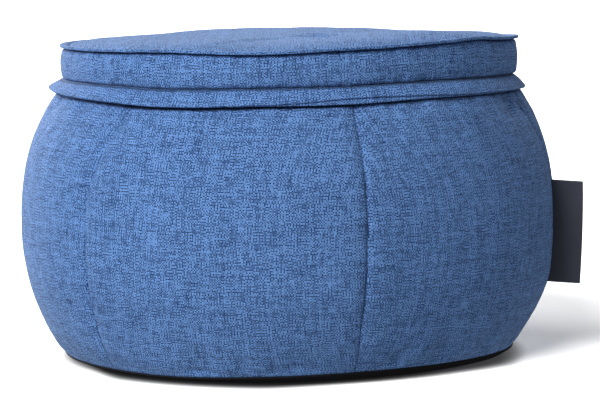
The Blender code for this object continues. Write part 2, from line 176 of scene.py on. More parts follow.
# Where the waves work
WAVE_SETTLE = 0.20          # radius from which they are full
LIFT_START = 0.20           # heights between which the lid's wave comes in
LIFT_FULL = 0.30
SEAM_LIFT_START = 0.284     # height from which the seam's wave comes in
TURN_FADE = 0.04            # how far above the foot the turn's wave has gone
FOOT_REACH_HEIGHT = 0.07    # height at which the foot's wave has gone

# The filling of the soft pieces
CLOTH_SETTINGS = {
    "quality": 6,
    "mass": 0.02,
    "tension_stiffness": 15.0,
    "compression_stiffness": 15.0,
    "shear_stiffness": 8.0,
    "bending_stiffness": 0.3,
    "use_pressure": True,
}
BAG_PRESSURE = 4.0
PAD_PRESSURE = 16.0
FRAMES = 20
SEAT_ROWS = 3
RIM_ROWS = 13
SIDE_ROWS = 150
BAND_ROWS = 34
BAG_SKIN = (SEAT_ROWS, SEAT_ROWS + RIM_ROWS + SIDE_ROWS)            # from rim to foot seam
PAD_BAND = (len(PAD_RINGS) + 1, len(PAD_RINGS) + 2 + BAND_ROWS)     # from seam to seam

# Unevenness: layers of fixed random values. A layer has its share, the seed of its values,
# how many of them go round the piece, and how far up the next one is
Layer = namedtuple("Layer", "share seed round up")
SEAM_STRENGTH = (Layer(0.25, 41, 6, 0.045),)
SEAM_PUCKERS = (Layer(1.0, 42, 6, 0.011),)
BAG_LUMPS = (Layer(0.55, 11, 34, 0.050), Layer(0.30, 12, 80, 0.024))
SHOULDER_GATHERS = (Layer(1.0, 21, 90, 0.4), Layer(0.5, 22, 170, 0.2))
FOOT_GATHERS = (Layer(1.0, 31, 110, 0.045),)
LEAF_RIPPLES = (Layer(0.5, 51, 64, 1.0), Layer(0.3, 52, 120, 1.0))
PANEL_PUCKERS = (Layer(1.0, 61, 210, 0.02), Layer(0.6, 62, 120, 0.05))
PANEL_RIPPLES = (Layer(1.0, 63, 60, 0.03),)
LIP_RIPPLES = (Layer(1.0, 64, 96, 1.0),)
BAND_PUCKERS = (Layer(1.0, 71, 150, 0.022), Layer(0.5, 72, 70, 0.03))
BAND_LUMPS = (Layer(1.0, 73, 40, 0.03),)
LEAF_OWN = Layer(0.14, 0, 84, 0.012)    # each leaf has its own seed
LATTICE_ROWS = 64

# Stretches of the bag's height: where a shape comes in and over how far, where it ends and
# over how far
SLOPE_STRETCH = (FOOT_HEIGHT, 0.05, 0.302, 0.09)
SLACK_STRETCH = (FOOT_HEIGHT, 0.05, SKIN_TOP, 0.03)
LUMP_STRETCH = (FOOT_HEIGHT, 0.02, SKIN_TOP, 0.02)
GATHER_STRETCH = (0.225, 0.07, 0.305, 0.01)

# Depths and half widths of the fine relief
SEAM_VALLEYS = ((1.3 * MM, 9 * MM), (0.9 * MM, 4 * MM))
SEAM_EVEN = 0.75                        # the share of a valley's depth that never changes
SEAM_SLIT = (1.7, 1.3 * MM)             # its depth is in seam depths
SEAM_START = (0.012, 0.05)              # the height where slit and puckers begin, and grow over
SEAM_PUCKER_HALF = 8 * MM
SEAM_PUCKER_CALM = (0.6, 1.5 * MM)      # how much weaker the puckers are beside the thread
SHADE_LINE_HALF = 0.9 * MM                  # half width of the painted shade along a seam's slit and along the stitching's groove
CREASE_SWELLING = (0.45, 2.4, 1.2)      # beside a crease: share of its depth, and half widths
SHOULDER_GATHER = 0.55 * MM
FOOT_GATHER = 0.7 * MM
FOOT_GATHER_AT = (0.018, 0.012)         # its height and half height
STITCH_GROOVE = (0.9 * MM, 1.6 * MM)
PANEL_RIPPLE = 0.35 * MM
LIP_RIPPLE = 0.25 * MM
BAND_PUCKER = 0.40 * MM
BAND_LUMP = 0.5 * MM

# Where each seam runs at its top, belly and foot, and how plainly it shows there
Seam = namedtuple("Seam", "top belly foot show_top show_belly show_foot")
SEAMS = (
    Seam(15.9, 16.4, 15.6, 0.30, 0.62, 0.50),      # front
    Seam(75.5, 84.0, 84.0, 0.65, 0.40, 0.45),      # right
    Seam(135.0, 136.0, 136.0, 0.45, 0.50, 0.50),   # back right
    Seam(195.0, 196.0, 195.5, 0.40, 0.60, 0.50),   # back
    Seam(255.0, 253.0, 253.5, 0.45, 0.50, 0.50),   # back left
    Seam(317.5, 312.4, 311.4, 0.16, 0.18, 0.90),   # left
)
SEAM_HEIGHTS = (0.05, 0.19, 0.27)                  # its foot, belly and top

# How the cloth strays from an even ring, in mm: lid, seam, lip and turn upward, out, foot and
# flat (where the base cloth leaves the floor) outward
Wave = namedtuple("Wave", "azimuth lid seam lip out foot turn flat")
WAVES = (
    Wave(-90, -1.4, 0.6, 0.2, -3.0, -0.6, 0.0, 0.0),
    Wave(-53, -0.4, 2.1, 2.2, -1.8, 0.6, 0.0, 0.0),
    Wave(-30, 0.5, 0.4, 3.8, -0.6, 0.8, -0.8, 0.0),
    Wave(-8, 0.0, 2.8, 2.9, 0.0, 0.6, 2.2, -3.0),
    Wave(15, 1.2, 2.9, 5.2, 0.0, 0.0, 5.2, -13.0),
    Wave(30, 2.2, 3.3, 5.8, -0.4, -0.6, 6.0, -16.0),
    Wave(43, 2.8, 2.7, 6.8, -0.6, -0.9, 5.8, -15.0),
    Wave(54, 2.7, 1.8, 7.8, -0.2, -1.2, 5.4, -9.0),
    Wave(66, 2.5, 0.6, 4.8, 0.6, -2.0, 4.2, -3.0),
    Wave(90, 1.6, -1.4, 1.6, 2.8, -2.4, 2.0, 0.0),
    Wave(130, -1.2, 0.4, -3.2, 1.0, -1.2, 0.5, 0.0),
    Wave(152, -1.0, 0.9, -2.0, 0.1, -0.4, 0.2, 0.0),
    Wave(175, -0.8, 1.4, -1.6, -0.8, 0.4, 0.0, 0.0),
    Wave(208, -1.2, 0.9, -1.4, -1.2, 0.8, 0.0, 0.0),
    Wave(225, -1.4, 0.6, -3.6, -1.4, 1.0, 0.0, 0.0),
)

# How the flange hangs: slopes in degrees, free lengths and the gap below it in mm
Hang = namedtuple("Hang", "azimuth slope_in slope_out upper under gap")
HANGS = (
    Hang(-90, 24, 32, 18.0, 17.0, 1.5),
    Hang(-70, 29, 37, 20.2, 19.2, 2.5),
    Hang(-50, 41, 49, 21.0, 20.0, 3.8),
    Hang(-25, 48, 58, 21.8, 20.8, 4.2),
    Hang(-4, 46, 56, 20.6, 20.6, 4.0),
    Hang(16, 46, 58, 15.6, 21.2, 3.0),
    Hang(28, 45, 58, 16.6, 20.6, 2.4),
    Hang(42, 42, 58, 19.2, 20.2, 2.2),
    Hang(65, 36, 60, 20.2, 19.8, 2.0),
    Hang(90, 30, 60, 21.5, 20.5, 1.5),
    Hang(135, 36, 54, 22.0, 21.0, 2.0),
    Hang(180, 44, 54, 21.5, 21.0, 3.0),
    Hang(225, 38, 50, 21.5, 21.5, 2.5),
)

# Dents in the bag, and the small puckers along its foot; a swelling has a depth below 0
Dent = namedtuple("Dent", "azimuth height half_angle half_height depth_mm")
DENTS = (
    Dent(66, 0.278, 4.0, 0.016, 6.0),
    Dent(27, 0.252, 5.0, 0.022, 1.6),
    Dent(38, 0.240, 4.0, 0.030, 1.4),
    Dent(6, 0.240, 3.5, 0.012, 1.2),
    Dent(-20, 0.030, 5.0, 0.014, 2.0),
    Dent(2, 0.026, 5.0, 0.012, 2.0),
    Dent(84, 0.082, 9.0, 0.024, -2.5),
    Dent(84, 0.032, 10.0, 0.016, 2.4),
    Dent(-70, 0.120, 9.0, 0.060, 1.5),
    Dent(160, 0.230, 7.0, 0.030, 2.0),
    Dent(215, 0.060, 8.0, 0.030, 2.0),
    Dent(-21, 0.0150, 3.5, 0.0032, 2.2),
    Dent(-13, 0.0165, 4.0, 0.0050, -1.2),
    Dent(1, 0.0145, 5.0, 0.0026, 1.6),
    Dent(12, 0.0170, 4.0, 0.0050, -1.0),
    Dent(25, 0.0150, 4.0, 0.0030, 2.0),
    Dent(31, 0.0190, 4.0, 0.0060, -1.4),
    Dent(38, 0.0155, 4.0, 0.0030, 2.2),
    Dent(47, 0.0180, 5.0, 0.0050, -1.2),
)

# Shallow folds in the top panel: half lengths and widths in metres, turned in degrees; the
# steeper, the flatter their floor
Fold = namedtuple("Fold", "x y half_length half_width turn rise_mm steep")
FOLDS = (
    Fold(0.038, -0.072, 0.062, 0.032, 88, -6.5, 3),
    Fold(-0.120, 0.030, 0.060, 0.030, 20, -1.2, 1),
    Fold(0.130, 0.060, 0.060, 0.030, -30, -1.5, 1),
)

# Gores that hang flatter beside their first seam: how far in, and how far from the seam
Slope = namedtuple("Slope", "gore depth_mm reach_mm")
SLOPES = (
    Slope(0, 7.0, 90.0),
    Slope(3, 4.0, 80.0),
)

# Creases in the bag's skin: a bent line of (azimuth, height), with its depth and half width
CREASE_RADIUS = 0.285       # the radius that turns their azimuths into lengths
Crease = namedtuple("Crease", "line depth_mm half_width_mm")
CREASES = (
    Crease(((8.6, 0.2500), (8.3, 0.2400), (8.0, 0.2300)), 1.3, 1.5),
    Crease(((12.2, 0.2545), (13.8, 0.2535), (15.6, 0.2505)), 0.9, 1.4),
    Crease(((20.9, 0.2700), (21.4, 0.2525), (21.1, 0.2370)), 0.9, 2.2),
    Crease(((19.4, 0.2310), (19.0, 0.2120)), 0.6, 1.8),
    Crease(((69.5, 0.2960), (67.4, 0.2800), (66.8, 0.2660)), 1.2, 3.0),
    Crease(((-25.5, 0.0170), (-21.0, 0.0145), (-16.5, 0.0100)), 1.2, 2.2),
    Crease(((-9.5, 0.0140), (-5.0, 0.0150)), 0.9, 2.0),
    Crease(((-2.5, 0.0190), (1.0, 0.0200), (5.0, 0.0170)), 1.2, 2.4),
    Crease(((142.0, 0.2560), (141.4, 0.2380)), 1.2, 1.8),
    Crease(((190.0, 0.2500), (193.0, 0.2490)), 0.9, 1.5),
    Crease(((248.0, 0.2480), (247.4, 0.2300)), 1.1, 1.8),
    Crease(((176.0, 0.0150), (183.0, 0.0170)), 1.2, 2.2),
    Crease(((228.0, 0.0160), (235.0, 0.0150)), 1.0, 2.0),
    Crease(((110.0, 0.0150), (117.0, 0.0170)), 1.0, 2.0),
)

# Ridges in the top panel: a bent line of (x, y), with its rise and half width
Ridge = namedtuple("Ridge", "line rise_mm half_width_mm")
RIDGES = (
    Ridge(((-0.094, -0.215), (-0.060, -0.175), (-0.034, -0.125), (-0.004, -0.100),
           (0.020, -0.145), (0.038, -0.175), (0.050, -0.200)), 1.9, 6.0),
    Ridge(((0.004, -0.012), (0.022, 0.004), (0.038, 0.000), (0.058, -0.030),
           (0.070, -0.080)), 0.8, 6.0),
    Ridge(((-0.020, 0.120), (0.050, 0.095), (0.120, 0.110)), 0.7, 9.0),
)

# The label
LABEL_BOTTOM = 0.079
LABEL_TOP = 0.1935
LABEL_WIDTH = 0.0335
LABEL_CLOTH = 1.0 * MM
LABEL_SPREAD = 0.8 * MM         # from its middle to each half
LABEL_SEAT = 0.9 * MM           # how far off the bottom of its seam it starts
LABEL_SEAM = 2.2 * MM           # how deep the seam is there
LABEL_WAVE = 0.5 * MM
LABEL_DROP = 2.4 * MM           # how far its fold hangs below its seam
LABEL_EDGE = (0.3262, 0.3300)   # radius of its fold, at the bottom and the top
LABEL_BOW = 1.2 * MM
LABEL_GRID = (14, 8, 48)        # spans of each half, turns of its fold, rows up

# The stitches
STITCH_STEPS = 6
STITCH_SIDES = 6
STITCH_SHARE = 0.80             # of its pitch that a stitch covers
STITCH_THICK = 0.42 * MM        # from its middle to its side
STITCH_SUNK = 0.55 * MM         # how deep its middle lies, before its arc
STITCH_RISE = 0.10 * MM
STITCH_DIP = 0.75 * MM          # how far its ends go down

# The studio: azimuth and elevation of each light, its spread, the property that sets its
# strength with the light's share of it, and what it falls on
Light = namedtuple("Light", "name azimuth elevation spread strength share lit")
LIGHTS = (
    Light("key_light", -40, 35, 36, "key", 1.0, "stool"),
    Light("rim_light", -150, 14, 40, "rim", 1.03, "stool"),
    Light("left_fill", -105, 12, 50, "fill", 1.15, "stool"),
    Light("front_fill", -20, 12, 50, "fill", 0.8, "stool"),
    Light("right_fill", 92, 35, 50, "fill", 1.35, "stool"),
    Light("back_light", 170, 30, 60, "back", 1.0, "stool"),
    Light("floor_key", -35, 30, 42, "floor_key", 1.0, "floor"),
    Light("floor_fill", -100, 38, 60, "floor_fill", 1.0, "floor"),
)
FLOOR_REACH = 60.0
CARD_DEPTH = 0.002

# The contact shadow painted on the floor round the foot: how far from the axis its edge is, how
# far further in it is at the front right, at both sides and on the right, and the steps between
# which each of these comes in
SHADE_RADIUS = 0.2575
FRONT_RIGHT = (0.4848, -0.8746)
FRONT_RIGHT_STEP = (0.80, 1.0)      # of the cosine of the angle from that way
SHADE_IN_FRONT_RIGHT = 0.020
SIDES_MIDDLE = 0.03
SIDES_STEP = (0.21, 0.25)
SHADE_IN_SIDES = 0.015
RIGHT_STEP = (0.02, 0.15)
SHADE_IN_RIGHT = 0.006
SHADE_FADE = (-0.027, 0.033)        # from its edge, where it begins to fade and has gone
SHADE_POWER = 3
SHADE_DARK = (0.025, 0.025, 0.028)
SHADE_RIGHT = (0.11, 0.11, 0.12)    # paler on the right
SHADE_RIGHT_STEP = (0.13, 0.225)
SHADE_ENDS = (0.30, 0.30, 0.31)     # and paler still at both ends
ENDS_MIDDLE = 0.015
ENDS_STEP = (0.215, 0.245)
# the floor's own colour inside the painted contact shadow
UNDER_STOOL_PAINTED_SHADE = (0.01, 0.01, 0.01)

# The camera, and the photograph's frame and the pixel of its own axis
PICTURE = (600, 400)
AXIS_PIXEL = (288.27, 204.75)
CAMERA_PLACE = (0.0, -3.9392, 0.5888)
CAMERA_DOWN = 6.1275
CAMERA_ROLL = -0.6257


# Shapes

def ease(share):
    """A soft step from 0 to 1: three times the square less twice the cube."""
    share = np.clip(share, 0.0, 1.0)
    return share * share * (3.0 - 2.0 * share)


def bell(offset, reach):
    """A soft bump: e to the power of minus the square of the offset over the reach."""
    return np.exp(-(offset / reach) ** 2)


def stretch(height, low, rise, high, fall):
    """1 along a stretch of heights, with a soft step in at its low end and out at its high."""
    return ease((height - low) / rise) * ease((high - height) / fall)


def around(table, column, azimuth):
    """Reads a column of a table of azimuths as a smooth curve that closes on itself: a cubic
    between neighbouring rows, whose slope at a row is that between the rows beside it."""
    at = np.array([row.azimuth for row in table], dtype=float)
    value = np.array([getattr(row, column) for row in table], dtype=float)
    at = np.concatenate((at[-1:] - 360, at, at[:2] + 360))
    value = np.concatenate((value[-1:], value, value[:2]))
    slope = np.zeros(len(at))
    slope[1:-1] = (value[2:] - value[:-2]) / (at[2:] - at[:-2])
    turned = (azimuth - at[1]) % 360 + at[1]
    row = np.clip(np.searchsorted(at, turned, side="right") - 1, 1, len(at) - 3)
    span = at[row + 1] - at[row]
    share = (turned - at[row]) / span
    here = (1 + 2 * share) * (1 - share) ** 2 * value[row]
    beside = share ** 2 * (3 - 2 * share) * value[row + 1]
    bend = share * (1 - share) * span * ((1 - share) * slope[row] - share * slope[row + 1])
    return here + beside + bend


def drift(azimuth, level, seed, cells_round, cell_height):
    """Unevenness from -1 to 1: fixed random values on a lattice that closes on itself round
    the piece, joined by soft steps both ways."""
    values = np.random.default_rng(seed).uniform(-1, 1, (LATTICE_ROWS, cells_round))
    across = (azimuth % 360) / 360 * cells_round
    up = level / cell_height + LATTICE_ROWS / 4
    column, row = np.floor(across).astype(int), np.floor(up).astype(int)
    part, lift_part = ease(across - column), ease(up - row)
    here, beside = column % cells_round, (column + 1) % cells_round
    low, high = row % LATTICE_ROWS, (row + 1) % LATTICE_ROWS
    lower = values[low, here] * (1 - part) + values[low, beside] * part
    upper = values[high, here] * (1 - part) + values[high, beside] * part
    return lower * (1 - lift_part) + upper * lift_part


def uneven(layers, azimuth, level):
    """A sum of layers of unevenness, each times its share."""
    return sum(
        layer.share * drift(azimuth, level, layer.seed, layer.round, layer.up)
        for layer in layers)


def from_line(x, y, line):
    """How far points lie from a bent line, and how near its middle: 1 there, 0 at an end."""
    far = np.full(np.shape(x), 1e9)
    inner = np.zeros(np.shape(x))
    lengths = [math.dist(a, b) for a, b in zip(line, line[1:])]
    done = 0.0
    for (start, end), length in zip(zip(line, line[1:]), lengths):
        run, rise = end[0] - start[0], end[1] - start[1]
        way = ((x - start[0]) * run + (y - start[1]) * rise) / length ** 2
        way = np.clip(way, 0, 1)
        off = np.hypot(x - start[0] - way * run, y - start[1] - way * rise)
        share = (done + way * length) / sum(lengths)
        inner = np.where(off < far, 1 - np.abs(2 * share - 1), inner)
        far = np.minimum(off, far)
        done += length
    return far, ease(2.5 * inner)


def seam_azimuth(index, height):
    """Where a seam runs at a height: it bends away from its place at the belly by a power of
    the way up or down. The seam after the last is the first, one turn on."""
    seam = SEAMS[index % GORES]
    low, middle, high = SEAM_HEIGHTS
    up = np.clip((height - middle) / (high - middle), 0, 1.35) ** 1.5
    down = np.clip((middle - height) / (middle - low), 0, 1) ** 1.5
    bent = seam.belly + (seam.top - seam.belly) * up + (seam.foot - seam.belly) * down
    return bent + 360 * (index // GORES)


def seam_azimuth_grid(index, height):
    """The azimuth of a seam for each point of a grid, by the seam's number."""
    found = np.zeros(np.shape(height))
    for seam in range(GORES + 1):
        here = index == seam
        found[here] = seam_azimuth(seam, height[here])
    return found


def seam_shows(beside, height):
    """How plainly the seam beside each point shows, from 0 to 1."""
    shows = np.zeros(np.shape(height))
    for index, seam in enumerate(SEAMS):
        here = beside == index
        plain = (seam.show_foot, seam.show_belly, seam.show_top)
        shows[here] = np.interp(height[here], SEAM_HEIGHTS, plain)
    return shows


def seam_beside(gore, share, radius):
    """The number of the nearest seam, and how far along the skin it is."""
    near = np.minimum(share, 1 - share)
    beside = np.where(share < 0.5, gore, (gore + 1) % GORES)
    return beside, np.radians(near * GORE_ANGLE) * radius


def columns_at(turned, height):
    """Moves evenly turned columns onto the seams, and crowds them beside each seam: the
    share of the way across a gore less a share of its own sine. Returns each column's
    azimuth, gore and share of its gore's angle."""
    steps = (turned % 360) / GORE_ANGLE
    gore = np.minimum(np.floor(steps), GORES - 1).astype(int)
    share = steps - gore
    share = share - CROWDING * np.sin(2 * np.pi * share) / (2 * np.pi)
    start = seam_azimuth_grid(gore, height)
    end = seam_azimuth_grid(gore + 1, height)
    return start + (end - start) * share, gore, share


def wave(column, azimuth, radius):
    """A column of the waves, in metres, which settles to its mean toward the axis."""
    mean = around(WAVES, column, np.arange(0.0, 360.0, 5.0)).mean()
    return (mean + (around(WAVES, column, azimuth) - mean) * ease(radius / WAVE_SETTLE)) * MM


def lift(azimuth, radius, height):
    """How far the waves raise a point; the bag's belly stays level, and the seam at its foot
    is raised where the base cloth turns up higher."""
    lid = ease((height - LIFT_START) / (LIFT_FULL - LIFT_START)) * wave("lid", azimuth, radius)
    below = ease((height - SEAM_LIFT_START) / (RIM_HEIGHT - SEAM_LIFT_START))
    above = ease((PAD_TOP_Z - height) / (PAD_TOP_Z - PAD_FOOT_Z))
    seam = below * above * wave("seam", azimuth, radius)
    lip = ease((height - PAD_FOOT_Z) / (PAD_TOP_Z - PAD_FOOT_Z)) * wave("lip", azimuth, radius)
    turn = ease(height / FOOT_HEIGHT) * (1 - ease((height - FOOT_HEIGHT) / TURN_FADE))
    return lid + seam + lip + turn * wave("turn", azimuth, radius)


def foot_reach(azimuth, radius, height, foot_radius):
    """How far the foot of the bag, and the base cloth with it, stands out of round."""
    near = (1 - ease(height / FOOT_REACH_HEIGHT)) * around(WAVES, "foot", azimuth)
    flat = (1 - ease(height / FOOT_HEIGHT)) * around(WAVES, "flat", azimuth)
    return (near + flat) * (radius / foot_radius) ** 2 * MM


def lid_reach(azimuth, radius):
    """How far the waves move the lid outward, by the square of the radius."""
    return around(WAVES, "out", azimuth) * MM * (radius / BAND_RADIUS) ** 2


def plan(azimuth, radius):
    """X and Y from azimuths in degrees and radii."""
    angle = np.radians(azimuth)
    return radius * np.sin(angle), -radius * np.cos(angle)


def polar(azimuth, radius, height):
    """Points from azimuths in degrees, radii and heights."""
    return np.stack((*plan(azimuth, radius), height), -1)


def spun(outline):
    """The grids of radius and height that an outline makes when it is turned."""
    return tuple(np.tile(outline[:, side:side + 1], (1, COLUMNS)) for side in (0, 1))


def round_mesh(name, points, left, right, sunk=None, ring=False):
    """Faces between the neighbouring rows of a grid whose columns go right round, wound to
    face outwards. The first and last row of a closed form are each one point, on the axis;
    the last row of a ring joins its first. left and right are the cloth coordinates of each
    column as seen from the faces on its two sides. sunk says how much painted shade each point
    takes, from 0 to 1: the shade painted deep in seams and recesses."""
    rows, columns = points.shape[:2]
    index = np.arange(rows * columns).reshape(rows, columns)
    if ring:
        index = np.vstack((index, index[:1]))
    else:
        index[0], index[-1] = index[0, 0], index[-1, 0]
    turned = np.roll(index, -1, axis=1)
    corners = np.stack((index[:-1], index[1:], turned[1:], turned[:-1]), -1)
    cloth = np.stack((left[:-1], left[1:], right[1:], right[:-1]), -2)
    kept = np.ones(corners.shape, bool)
    if not ring:
        kept[0, :, 3] = kept[-1, :, 2] = False
    used, flat = np.unique(corners[kept], return_inverse=True)
    sizes = kept.sum(-1).ravel()
    starts = np.concatenate(([0], np.cumsum(sizes)[:-1]))
    mesh = bpy.data.meshes.new(name)
    mesh.vertices.add(len(used))
    mesh.vertices.foreach_set("co", points.reshape(-1, 3)[used].astype(np.float32).ravel())
    mesh.loops.add(len(flat))
    mesh.loops.foreach_set("vertex_index", flat.astype(np.int32).ravel())
    mesh.polygons.add(len(starts))
    mesh.polygons.foreach_set("loop_start", starts.astype(np.int32))
    mesh.update(calc_edges=True)
    layer = mesh.uv_layers.new(name="cloth")
    layer.uv.foreach_set("vector", cloth[kept].astype(np.float32).ravel())
    # Painted shade: stored as a point attribute that the cloth's material darkens by.
    painted_values = np.zeros(points.shape[:2]) if sunk is None else sunk
    mesh.attributes.new("sunk", "FLOAT", "POINT").data.foreach_set(
        "value", painted_values.reshape(-1)[used].astype(np.float32))
    mesh.shade_smooth()
    piece = bpy.data.objects.new(name, mesh)
    bpy.context.scene.collection.objects.link(piece)
    return piece


def even_columns(rows):
    """Evenly turned azimuths for a grid of so many rows."""
    return np.tile(np.arange(COLUMNS) * 360 / COLUMNS, (rows, 1))


def sewn_columns(height):
    """The azimuths of a grid whose columns follow the bag's seams."""
    return columns_at(even_columns(len(height)), height)[0]


def along_rows(points):
    """The length run down each column, row by row."""
    steps = np.linalg.norm(np.diff(points, axis=0), axis=-1)
    return np.vstack((np.zeros((1, points.shape[1])), np.cumsum(steps, axis=0)))


def wrapped_cloth(across, down):
    """Cloth coordinates of a strip that goes once round: across along the columns, in metres,
    with one hidden jump where it closes."""
    left = np.stack((across, down), -1)
    whole = across[:, :1] + (across[:, -1:] - across[:, :1]) * COLUMNS / (COLUMNS - 1)
    right = np.stack((np.hstack((across[:, 1:], whole)), np.roll(down, -1, axis=1)), -1)
    return left, right


def quads_of(index):
    """The faces between the neighbours in the last two directions of a grid of numbers."""
    corners = (index[..., :-1, :-1], index[..., 1:, :-1], index[..., 1:, 1:], index[..., :-1, 1:])
    return np.stack(corners, -1).reshape(-1, 4).tolist()


def open_mesh(name, points, faces, cloth):
    """A piece from points, faces and the cloth coordinates of each point."""
    mesh = bpy.data.meshes.new(name)
    mesh.from_pydata(points.reshape(-1, 3).tolist(), [], faces)
    place = np.zeros(len(mesh.loops), np.int32)
    mesh.loops.foreach_get("vertex_index", place)
    layer = mesh.uv_layers.new(name="cloth")
    layer.uv.foreach_set("vector", cloth.reshape(-1, 2)[place].astype(np.float32).ravel())
    mesh.shade_smooth()
    piece = bpy.data.objects.new(name, mesh)
    bpy.context.scene.collection.objects.link(piece)
    return piece


# The filling

def between(coarse):
    """Fills in a grid of which every other row and column is known: each point between takes
    the mean of its neighbours. The columns close on themselves."""
    rows, columns = coarse.shape[:2]
    across = np.zeros((rows, 2 * columns, coarse.shape[2]))
    across[:, ::2] = coarse
    across[:, 1::2] = (coarse + np.roll(coarse, -1, axis=1)) / 2
    fine = np.zeros((2 * rows - 1, 2 * columns, coarse.shape[2]))
    fine[::2] = across
    fine[1::2] = (across[:-1] + across[1:]) / 2
    return fine


def filled(name, points, outward, slack, held, pressure, start, extra, cap):
    """How far the cloth through a grid of points moves when it is filled. Every other point
    makes a sheet of Blender's cloth, which starts a little inside, is a little larger than
    its place, is held where it is sewn, and is pressed out for a few frames. How far it ends
    from the points is eased off toward the cap: the cap times the hyperbolic tangent of the
    way over the cap."""
    goal = points[::2, ::2]
    begin = goal - outward[::2, ::2] * (start * slack[::2, ::2, None])
    index = np.arange(goal[..., 0].size).reshape(goal.shape[:2])
    mesh = bpy.data.meshes.new(name)
    mesh.from_pydata(
        begin.reshape(-1, 3).tolist(), [], quads_of(np.hstack((index, index[:, :1]))))
    sheet = bpy.data.objects.new(name, mesh)
    scene = bpy.context.scene
    scene.collection.objects.link(sheet)
    sewn = sheet.vertex_groups.new(name="sewn")
    sewn.add(index[held[::2, ::2]].tolist(), 1.0, "REPLACE")
    press = sheet.modifiers.new("Press", "CLOTH")
    for setting, value in CLOTH_SETTINGS.items():
        setattr(press.settings, setting, value)
    press.settings.vertex_group_mass = "sewn"
    press.settings.uniform_pressure_force = pressure
    press.settings.shrink_min = -extra
    press.settings.effector_weights.gravity = 0.0
    press.point_cache.frame_start = 1
    press.point_cache.frame_end = FRAMES
    for frame in range(1, FRAMES + 1):
        scene.frame_set(frame)
    shaped = sheet.evaluated_get(bpy.context.evaluated_depsgraph_get()).data
    ends = np.zeros(3 * len(shaped.vertices), np.float32)
    shaped.vertices.foreach_get("co", ends)
    moved = ends.reshape(goal.shape) - goal
    scene.frame_set(1)
    bpy.data.objects.remove(sheet)
    bpy.data.meshes.remove(mesh)
    far = np.maximum(np.linalg.norm(moved, axis=-1, keepdims=True), 1e-9)
    return between(moved * cap * np.tanh(far / cap) / far)


# The bag

def belly(sizes, height):
    """The bag's radius at a height: the belly's less a power of the way to the shoulder, or
    to the foot."""
    up = np.clip((height - sizes.belly_height) / (SHOULDER_HEIGHT - sizes.belly_height), 0, None)
    down = np.clip((sizes.belly_height - height) / (sizes.belly_height - FOOT_HEIGHT), 0, None)
    above = (sizes.belly_radius - sizes.shoulder_radius) * up ** SHOULDER_FULLNESS
    below = (sizes.belly_radius - sizes.foot_radius) * down ** FOOT_FULLNESS
    return sizes.belly_radius - above - below


def base_top(sizes):
    """The base cloth's upper side, from its turned-up edge to the middle."""
    edge_z = FOOT_HEIGHT - BASE_EDGE_DROP
    return [
        (sizes.foot_radius - BASE_EDGE_IN, edge_z),
        (BASE_TURN_RADIUS, BASE_CLOTH + BASE_TURN_RISE * (edge_z - BASE_CLOTH)),
        (FLAT_FOOT_RADIUS, BASE_CLOTH),
        (MIDDLE_RING, BASE_CLOTH),
        (0.0, BASE_CLOTH),
    ]


def bag_outline(sizes):
    """The bag's outline from the middle of its hidden seat to the middle of its foot."""
    seat_z = PAD_FOOT_Z - GAP
    seat = [(0.0, seat_z), (MIDDLE_RING, seat_z), (SEAT_RADIUS, seat_z)]
    share = np.linspace(0, 1, RIM_ROWS + 1)[:-1]
    rim = list(zip(
        RIM_RADIUS + (sizes.shoulder_radius - RIM_RADIUS) * share,
        RIM_HEIGHT - (RIM_HEIGHT - SHOULDER_HEIGHT) * share ** RIM_FALL))
    rim[0] = (SEAT_RADIUS + SEAT_SLOPE, RIM_HEIGHT)
    height = np.linspace(SHOULDER_HEIGHT, FOOT_HEIGHT, SIDE_ROWS)
    side = list(zip(belly(sizes, height), height))
    under = [(radius, level + GAP) for radius, level in base_top(sizes)]
    return np.array(seat + rim + side + under)


def foot_share(height):
    """What share of the seams' draw is left toward the foot."""
    return FOOT_DRAW + (1 - FOOT_DRAW) * ease((height - FOOT_HEIGHT) / FOOT_DRAW_HEIGHT)


def rim_share(sizes, radius, height):
    """Fades the skin's shape out over the hidden rim: 1 below the shoulder, 0 at the rim."""
    hidden = (radius - RIM_RADIUS) / (sizes.shoulder_radius - RIM_RADIUS)
    return np.where(height > SHOULDER_HEIGHT, ease(hidden), 1.0)


def offset_from(azimuth, middle):
    """The angle from a middle to each azimuth, from -180 to 180 degrees."""
    return (azimuth - middle + 180) % 360 - 180


def with_dents(drawn, azimuth, height):
    """Adds the dents: each is its depth times a bell both ways."""
    for dent in DENTS:
        offset = offset_from(azimuth, dent.azimuth)
        drawn = drawn + dent.depth_mm * MM * bell(offset, dent.half_angle) * bell(
            height - dent.height, dent.half_height)
    return drawn


def seam_relief(sizes, arc, along, gore):
    """How far the cloth beside a seam is drawn in: a broad soft valley, a narrow slit along
    the thread, and puckers that run a little way out from it."""
    strength = SEAM_EVEN + uneven(SEAM_STRENGTH, gore * GORE_ANGLE, along)
    fade = ease((along - SEAM_START[0]) / SEAM_START[1])
    valley = sum(depth * bell(arc, half) for depth, half in SEAM_VALLEYS)
    slit = sizes.seam_depth * SEAM_SLIT[0] * seam_shows(gore, along) * bell(arc, SEAM_SLIT[1])
    pucker = uneven(SEAM_PUCKERS, gore * GORE_ANGLE, along) * bell(arc, SEAM_PUCKER_HALF)
    beside = 1 - SEAM_PUCKER_CALM[0] * bell(arc, SEAM_PUCKER_CALM[1])
    return (valley * strength + slit * fade) + sizes.pucker * pucker * beside * fade


def skin_shape(sizes, azimuth, radius, height, gore, share):
    """How far the bag's skin lies inside an even ring: the crown of each gore over its seams
    by the square of the way across, the flatter gores and the dents. A flatter gore's dip is
    the way from its seam times e to the power of one less that way."""
    across = np.abs(1 - 2 * share)
    drawn = SEAM_DRAW * across ** 2 * foot_share(height)
    drawn = drawn * rim_share(sizes, radius, height)
    for slope in SLOPES:
        way = np.radians(share * GORE_ANGLE) * radius / (slope.reach_mm * MM)
        dip = way * np.exp(1 - way) * ease(3 * (1 - share)) * (gore == slope.gore)
        drawn = drawn + slope.depth_mm * MM * dip * stretch(height, *SLOPE_STRETCH)
    return with_dents(drawn, azimuth, height)


